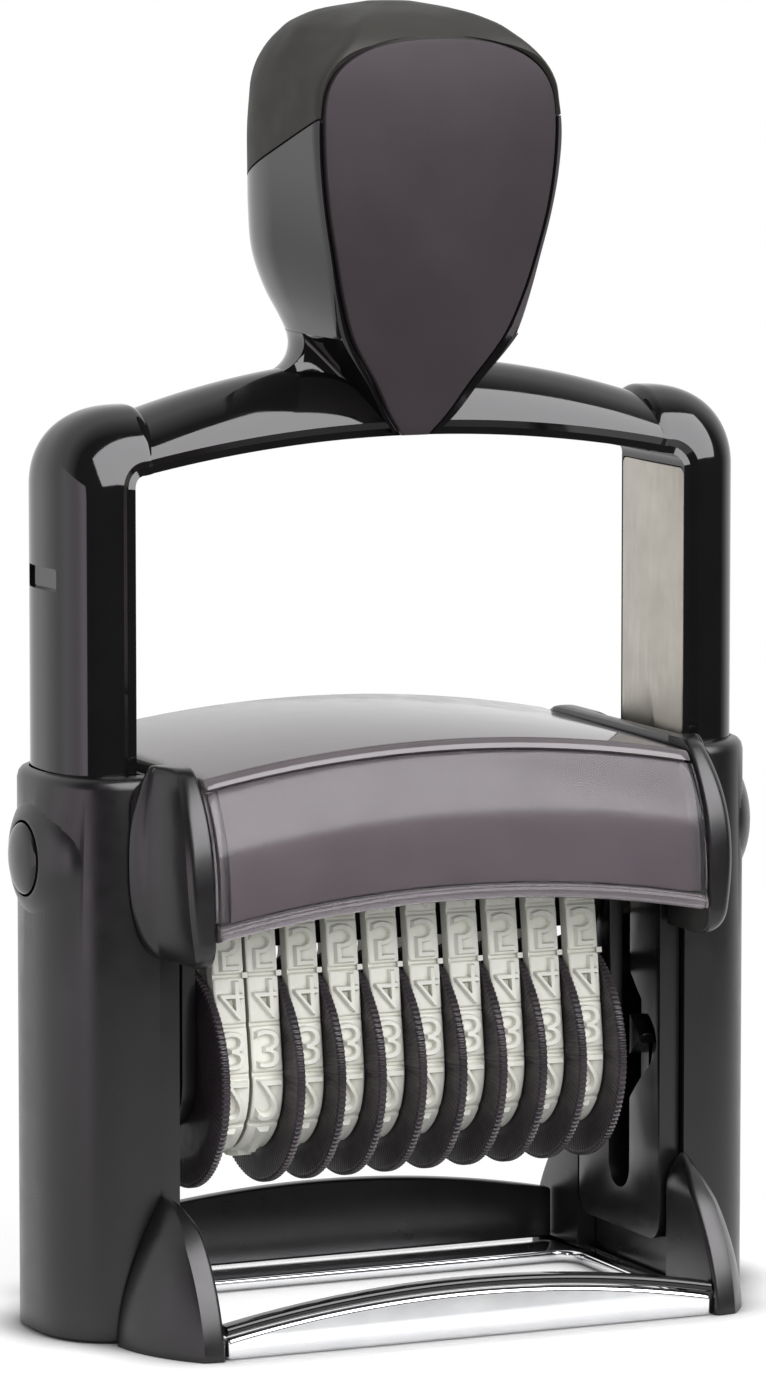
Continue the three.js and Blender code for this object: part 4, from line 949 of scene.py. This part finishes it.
class Track:
    """Places on the band's loop by distance, with normals that turn smoothly at its corners."""

    def __init__(self, path, count=600):
        steps = np.linalg.norm(np.diff(path, axis=0), axis=1)
        at = np.concatenate([[0], np.cumsum(steps)])
        self.length = at[-1]
        self.at = np.linspace(0, self.length, count + 1)
        self.points = np.column_stack([np.interp(self.at, at, path[:, k]) for k in (0, 1)])
        ahead = np.roll(self.points[:-1], -1, axis=0) - np.roll(self.points[:-1], 1, axis=0)
        for _ in range(10):
            ahead = (np.roll(ahead, 1, axis=0) + ahead + np.roll(ahead, -1, axis=0)) / 3
        normals = np.column_stack([-ahead[:, 1], ahead[:, 0]])
        normals /= np.linalg.norm(normals, axis=1, keepdims=True)
        self.normals = np.vstack([normals, normals[:1]])

    def place(self, along, across, lift):
        """Turns (distance, x, height) arrays or values into points in space."""
        along, across, lift = np.broadcast_arrays(np.mod(along, self.length), across, lift)
        y, z = (np.interp(along, self.at, self.points[:, k])
                + np.interp(along, self.at, self.normals[:, k]) * lift for k in (0, 1))
        return np.column_stack([across, y, z])


def digit_shapes():
    """The ten digits as meshes (x across, y up, z out), with sloped flanks, centred and sized."""
    shapes = []
    for number in range(10):
        curve = bpy.data.curves.new("digit", "FONT")
        curve.body = str(number)
        curve.resolution_u = 3
        curve.bevel_depth = 0.03
        curve.bevel_resolution = 0
        curve.offset = -0.012
        shape = link("digit", curve)
        graph = bpy.context.evaluated_depsgraph_get()
        mesh = bpy.data.meshes.new_from_object(shape.evaluated_get(graph))
        with editing(mesh) as work:
            bmesh.ops.remove_doubles(work, verts=work.verts, dist=GLYPH_WELD)
        points = np.array([vertex.co[:] for vertex in mesh.vertices])
        faces = [tuple(face.vertices) for face in mesh.polygons]
        low, high = points.min(0), points.max(0)
        width = DIGIT_WIDTH * (ONE_SHARE if number == 1 else 1)
        size = np.array([width, DIGIT_HEIGHT, 2 * DIGIT_LIFT])
        shapes.append(((points - (low + high) / 2) * (size / (high - low)), faces))
        bpy.data.objects.remove(shape)
        bpy.data.curves.remove(curve)
        bpy.data.meshes.remove(mesh)
    return shapes


def band_parts(low, high, shapes, track):
    """The groups of points and faces of one band between two x values."""
    pitch = track.length / SEGMENTS
    plateau, middle = TYPE_HEIGHT - DIGIT_LIFT, (low + high) / 2
    at = np.linspace(0, track.length, 160, endpoint=False)
    rings = [track.place(at, across, lift) for across, lift in (
        (low, GROOVE), (high, GROOVE), (high, -BAND_THICK), (low, -BAND_THICK))]
    parts = [loft_data(rings + rings[:1], capped=False)]
    half = (pitch - 0.5) / 2
    edge = [half - 0.16, half + 0.06, half + 0.25]
    along = np.array([*(-at for at in edge[::-1]), *((half - 0.4) * np.linspace(-1, 1, 7)), *edge])
    flank = [-0.3, plateau - 0.3, plateau - 0.05]
    lift = np.array([*flank, *[plateau] * 7, *flank[::-1]])
    sides = ((0.02, 0.22), (0.16, 0.05), (0.3, 0))
    block = [(low + inset, shrink) for inset, shrink in sides]
    block += [(high - inset, shrink) for inset, shrink in sides[::-1]]
    for k in range(SEGMENTS):
        centre = k * pitch
        parts.append(loft_data([track.place(centre + along * (1 - shrink * 0.12), across, lift - shrink)
                                for across, shrink in block]))
        points, faces = shapes[(TOP_DIGIT - (SEGMENTS - k) % SEGMENTS) % 10]
        x, y, z = points.T
        parts.append((track.place(centre - y, middle + x, plateau + z), faces))
    for row in NIB.rows:
        along = track.length - (row + 0.5) * pitch + NIB.half * np.array([-1, 1, 1, -1])
        parts.append(loft_data([track.place(along, high + reach, lift) for reach, lift in NIB.profile]))
    return parts


def toothed_wheel(name, disc_low, disc_high, hub_low, hub_high):
    """A disc with teeth round its edge and ridges on its faces, and the hub beside it."""
    angles = np.linspace(0, 2 * np.pi, 4 * TEETH, endpoint=False)
    wave = np.tile([0.0, 0.0, -TOOTH_DEPTH, -TOOTH_DEPTH], TEETH)
    rim = DISC_RADIUS

    def ring(x, radius, share, ridge=0.0):
        reach = radius + wave * share
        return np.column_stack([x - ridge * wave / TOOTH_DEPTH, reach * np.cos(angles),
                                WHEEL_Z + reach * np.sin(angles)])

    side = [(0, 10.6, 0, 0), (0, 11.4, 0, RIDGE), (0, rim - 0.75, 0, RIDGE), (0, rim - 0.5, 0, 0),
            (0.12, rim - 0.08, 1, 0), (0.26, rim, 1, 0)]
    bore = [(disc_low, BORE, 0), (disc_low, HUB_RADIUS + 0.5, 0)]
    left = [(disc_low + inset, *spot) for inset, *spot in side]
    right = [(disc_high - inset, radius, share, -ridge) for inset, radius, share, ridge in side[::-1]]
    disc = [ring(*spot) for spot in (*bore, *left, *right, (disc_high, BORE, 0), bore[0])]
    spots = ((hub_low, BORE), (hub_low, HUB_RADIUS), (hub_high, HUB_RADIUS), (hub_high, BORE))
    hub = [circle(*spot, WHEEL_Z, 72) for spot in (*spots, spots[0])]
    return joined(name, [loft_data(disc, capped=False), loft_data(hub, capped=False)])


def build_bands():
    shapes = digit_shapes()
    track = Track(loop_path(TYPE_HEIGHT))
    for n in range(1, 11):
        label = f"{n:02d}"
        first = n == 1
        low = (n - 1) * CELL - STACK_HALF + (DISC_THICK + DISC_GAP if first else GAP)
        high = low + BAND_WIDTH
        disc_low = -STACK_HALF if first else high + DISC_GAP
        disc_high = disc_low + DISC_THICK
        hub = (disc_high - 0.15, high) if first else (low, disc_low + 0.15)
        band = joined(f"number_band_{label}", band_parts(low, high, shapes, track))
        dress(band, "printing_unit", "band_rubber", [f"band_{label}"])
        wheel = toothed_wheel(f"thumb_wheel_{label}", disc_low, disc_high, *hub)
        dress(wheel, f"wheel_{label}", "wheel_black", [f"wheel_{label}"])


def build_inside():
    for side, sign in SIDES:
        fine(f"side_arm_{side}", "printing_unit", "satin_black", 0.3, 3)
        fine(f"cam_plate_{side}", "housing", "satin_black", 0.3, 3)
        outline = rounded(-LINER.half, LINER.half, LINER.low, PLATE_TOP - 0.1, LINER.corner, 4)
        faces = sorted((sign * LEG_IN, sign * (LEG_IN + LINER.thick)))
        plate = prism(f"steel_plate_{side}", outline, *faces, 0)
        dress(bevel(plate, 0.15, 2), "handle", "steel", [f"leg_liner_{side}"])
    fine("print_bridge", "printing_unit", "satin_black", 0.3)
    for node in ("wheel_axle", "flip_axle"):
        fine(node, "printing_unit", "steel", 0.3)
    fine("pad_tray", "pad", "satin_black", 0.3)
    fine("ink_pad", "pad", "felt", 0.5, 3)


SPRING = Sizes(radius=2.1, wire=0.55, turns=8, x=43.3, low=4.3, high=52.2, steps=384, sides=12)


def build_springs():
    low, high = SPRING.low + SPRING.wire, SPRING.high - SPRING.wire
    around = np.linspace(0, 2 * np.pi, SPRING.sides, endpoint=False)
    for side, sign in SIDES:
        rings = []
        for share in np.linspace(0, 1, SPRING.steps + 1):
            turn = 2 * math.pi * SPRING.turns * share
            out = np.array([math.cos(turn), math.sin(turn), 0])
            centre = SPRING.radius * out + (SPRING.x, 0, low + (high - low) * share)
            wire = np.outer(np.cos(around), out) + np.outer(np.sin(around), (0, 0, 1))
            rings.append((centre + SPRING.wire * wire) * (sign, 1, 1))
        piece = loft(f"spring_wire_{side}", rings)
        dress(piece, "housing", "spring_steel", [f"return_spring_{side}"])
        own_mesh(piece)


# Floor, light and camera. The floor's fade and all about the lights is in metres.
# lift is the floor's glow; contact and open size the painted contact shadow that ambient occlusion cuts
# into it.
FLOOR = Sizes(radius=300, fade=(0.058, 0.09), lift=0.78, contact=8.0, open=(0.5, 0.98))
AMBIENT = 0.35
GLOSS_FRONT = 0.05
AIM = Vector((0, 0, 0.09))
CAMERA = Sizes(place=(-417.5, -913.7, 205.8), yaw=24.545, pitch=7.128, lens=134.2, sensor=24)


def build_stage():
    """A round pale floor that ends in plain white. Near the object its diffuse part keeps the real
    shadow, and its glow carries a painted contact shadow from an ambient occlusion mask.
    """
    turn = np.linspace(0, 2 * np.pi, 64, endpoint=False)
    floor = solid("floor", at_height(FLOOR.radius * np.column_stack([np.cos(turn), np.sin(turn)]), 0),
                  [tuple(range(64))])
    look = Recipe("floor")
    grey = {"Base Color": (0.5, 0.5, 0.5, 1), "Roughness": 0.9, "Specular IOR Level": 0.1}
    look.feed(look.shader, grey)
    seen = look.rays("Camera", "Glossy", "Transmission")
    distance = look.node("VectorMath", {0: look.place}, operation="LENGTH")
    edge = look.remap(distance.outputs["Value"], FLOOR.fade, interpolation_type="SMOOTHSTEP")
    # Painted contact shadow: ambient occlusion darkens the floor's glow close to the object.
    contact = look.node("AmbientOcclusion", {"Distance": FLOOR.contact * MM}, samples=8)
    glow_with_painted_shadow = look.compute("MULTIPLY", look.remap(contact.outputs["AO"], FLOOR.open), FLOOR.lift)
    lift = look.node("Emission", {"Strength": look.compute("MULTIPLY", seen, glow_with_painted_shadow)})
    near = look.node("AddShader", {0: look.shader.outputs[0], 1: lift.outputs[0]})
    white = look.node("Emission", {"Strength": seen})
    both = look.node("MixShader", {"Fac": edge, 1: near.outputs[0], 2: white.outputs[0]})
    look.feed(look.tree.nodes["Material Output"], {"Surface": both.outputs[0]})
    floor.data.materials.append(look.material)


def build_world():
    """White where it is seen directly or mirrored from behind, and dim as a light."""
    world = bpy.data.worlds.new("studio")
    bpy.context.scene.world = world
    world.use_nodes = True
    sky = Nodes(world.node_tree)
    sky.tree.nodes.clear()
    background = sky.node("Background", {"Color": WHITE})
    sky.node("OutputWorld", {"Surface": background.outputs[0]})
    axes = sky.node("SeparateXYZ", {0: sky.node("TexCoord").outputs["Generated"]})
    behind = sky.remap(axes.outputs["Y"], (-0.25, 0.25), (GLOSS_FRONT, 1))
    mirrored = sky.compute("MULTIPLY", sky.rays("Glossy"), behind)
    seen = sky.compute("MAXIMUM", mirrored, sky.rays("Camera", "Transmission"))
    others = sky.compute("SUBTRACT", 1.0, sky.rays("Camera", "Glossy", "Transmission"))
    strength = sky.compute("ADD", seen, sky.compute("MULTIPLY", others, AMBIENT))
    sky.feed(background, {"Strength": strength})


def softbox(name, azimuth, elevation, distance, width, height, radiance, colour=(1, 1, 1)):
    """A soft light that faces the object from a direction, azimuth from -Y towards +X."""
    light = bpy.data.lights.new(name, "AREA")
    light.shape = "RECTANGLE"
    light.size, light.size_y = width, height
    light.energy = radiance * math.pi * width * height
    light.color = colour
    made = link(name, light)
    a, e = math.radians(azimuth), math.radians(elevation)
    away = Vector((math.sin(a) * math.cos(e), -math.cos(a) * math.cos(e), math.sin(e)))
    made.location = AIM + away * distance
    made.rotation_euler = away.to_track_quat("Z", "Y").to_euler()
    made.visible_camera = False
    return made


def fade_to_rear(card, front, rear):
    """Lets a card grow dark towards the rear, so that its reflection has no hard edge there."""
    card.data.use_nodes = True
    look = Nodes(card.data.node_tree)
    axes = look.node("SeparateXYZ", {0: look.node("NewGeometry").outputs["Position"]})
    fade = look.remap(axes.outputs["Y"], (front, rear), (1, 0))
    look.feed(look.tree.nodes["Emission"], {"Strength": fade})


def build_lights():
    """Soft lights that carry the object's colours, and cards that only show in its gloss."""
    for light in (softbox("key", 24, 35, 1.2, 0.5, 0.95, 5.2),
                  softbox("front_fill", -10, 8, 1.6, 1.4, 1.0, 2.5),
                  softbox("left_fill", -75, 15, 1.3, 1.5, 1.1, 0.7)):
        light.visible_glossy = False
    left_card = softbox("left_card", -106, -6, 1.3, 3.6, 1.1, 2.1, (1.0, 0.89, 0.98))
    fade_to_rear(left_card, -0.9, 0.7)
    for card in (softbox("top_card", 22, 41, 1.2, 1.6, 1.02, 7.0, (1.0, 0.98, 1.0)), left_card):
        card.visible_diffuse = False
        card.visible_transmission = False


def build_camera():
    camera = bpy.data.cameras.new("camera")
    camera.sensor_fit = "VERTICAL"
    camera.sensor_height = CAMERA.sensor
    camera.lens = CAMERA.lens
    camera.clip_start, camera.clip_end = 0.05, 20
    made = link("camera", camera)
    made.location = [c * MM for c in CAMERA.place]
    made.rotation_euler = (math.radians(90 - CAMERA.pitch), 0, math.radians(-CAMERA.yaw))
    bpy.context.scene.camera = made


build_camera()
build_yoke()
build_grip()
build_cover()
build_cheeks_and_feet()
build_columns()
build_base()
build_bands()
build_inside()
build_springs()
build_stage()
build_world()
build_lights()

scene = bpy.context.scene
scene.view_settings.view_transform = "Standard"
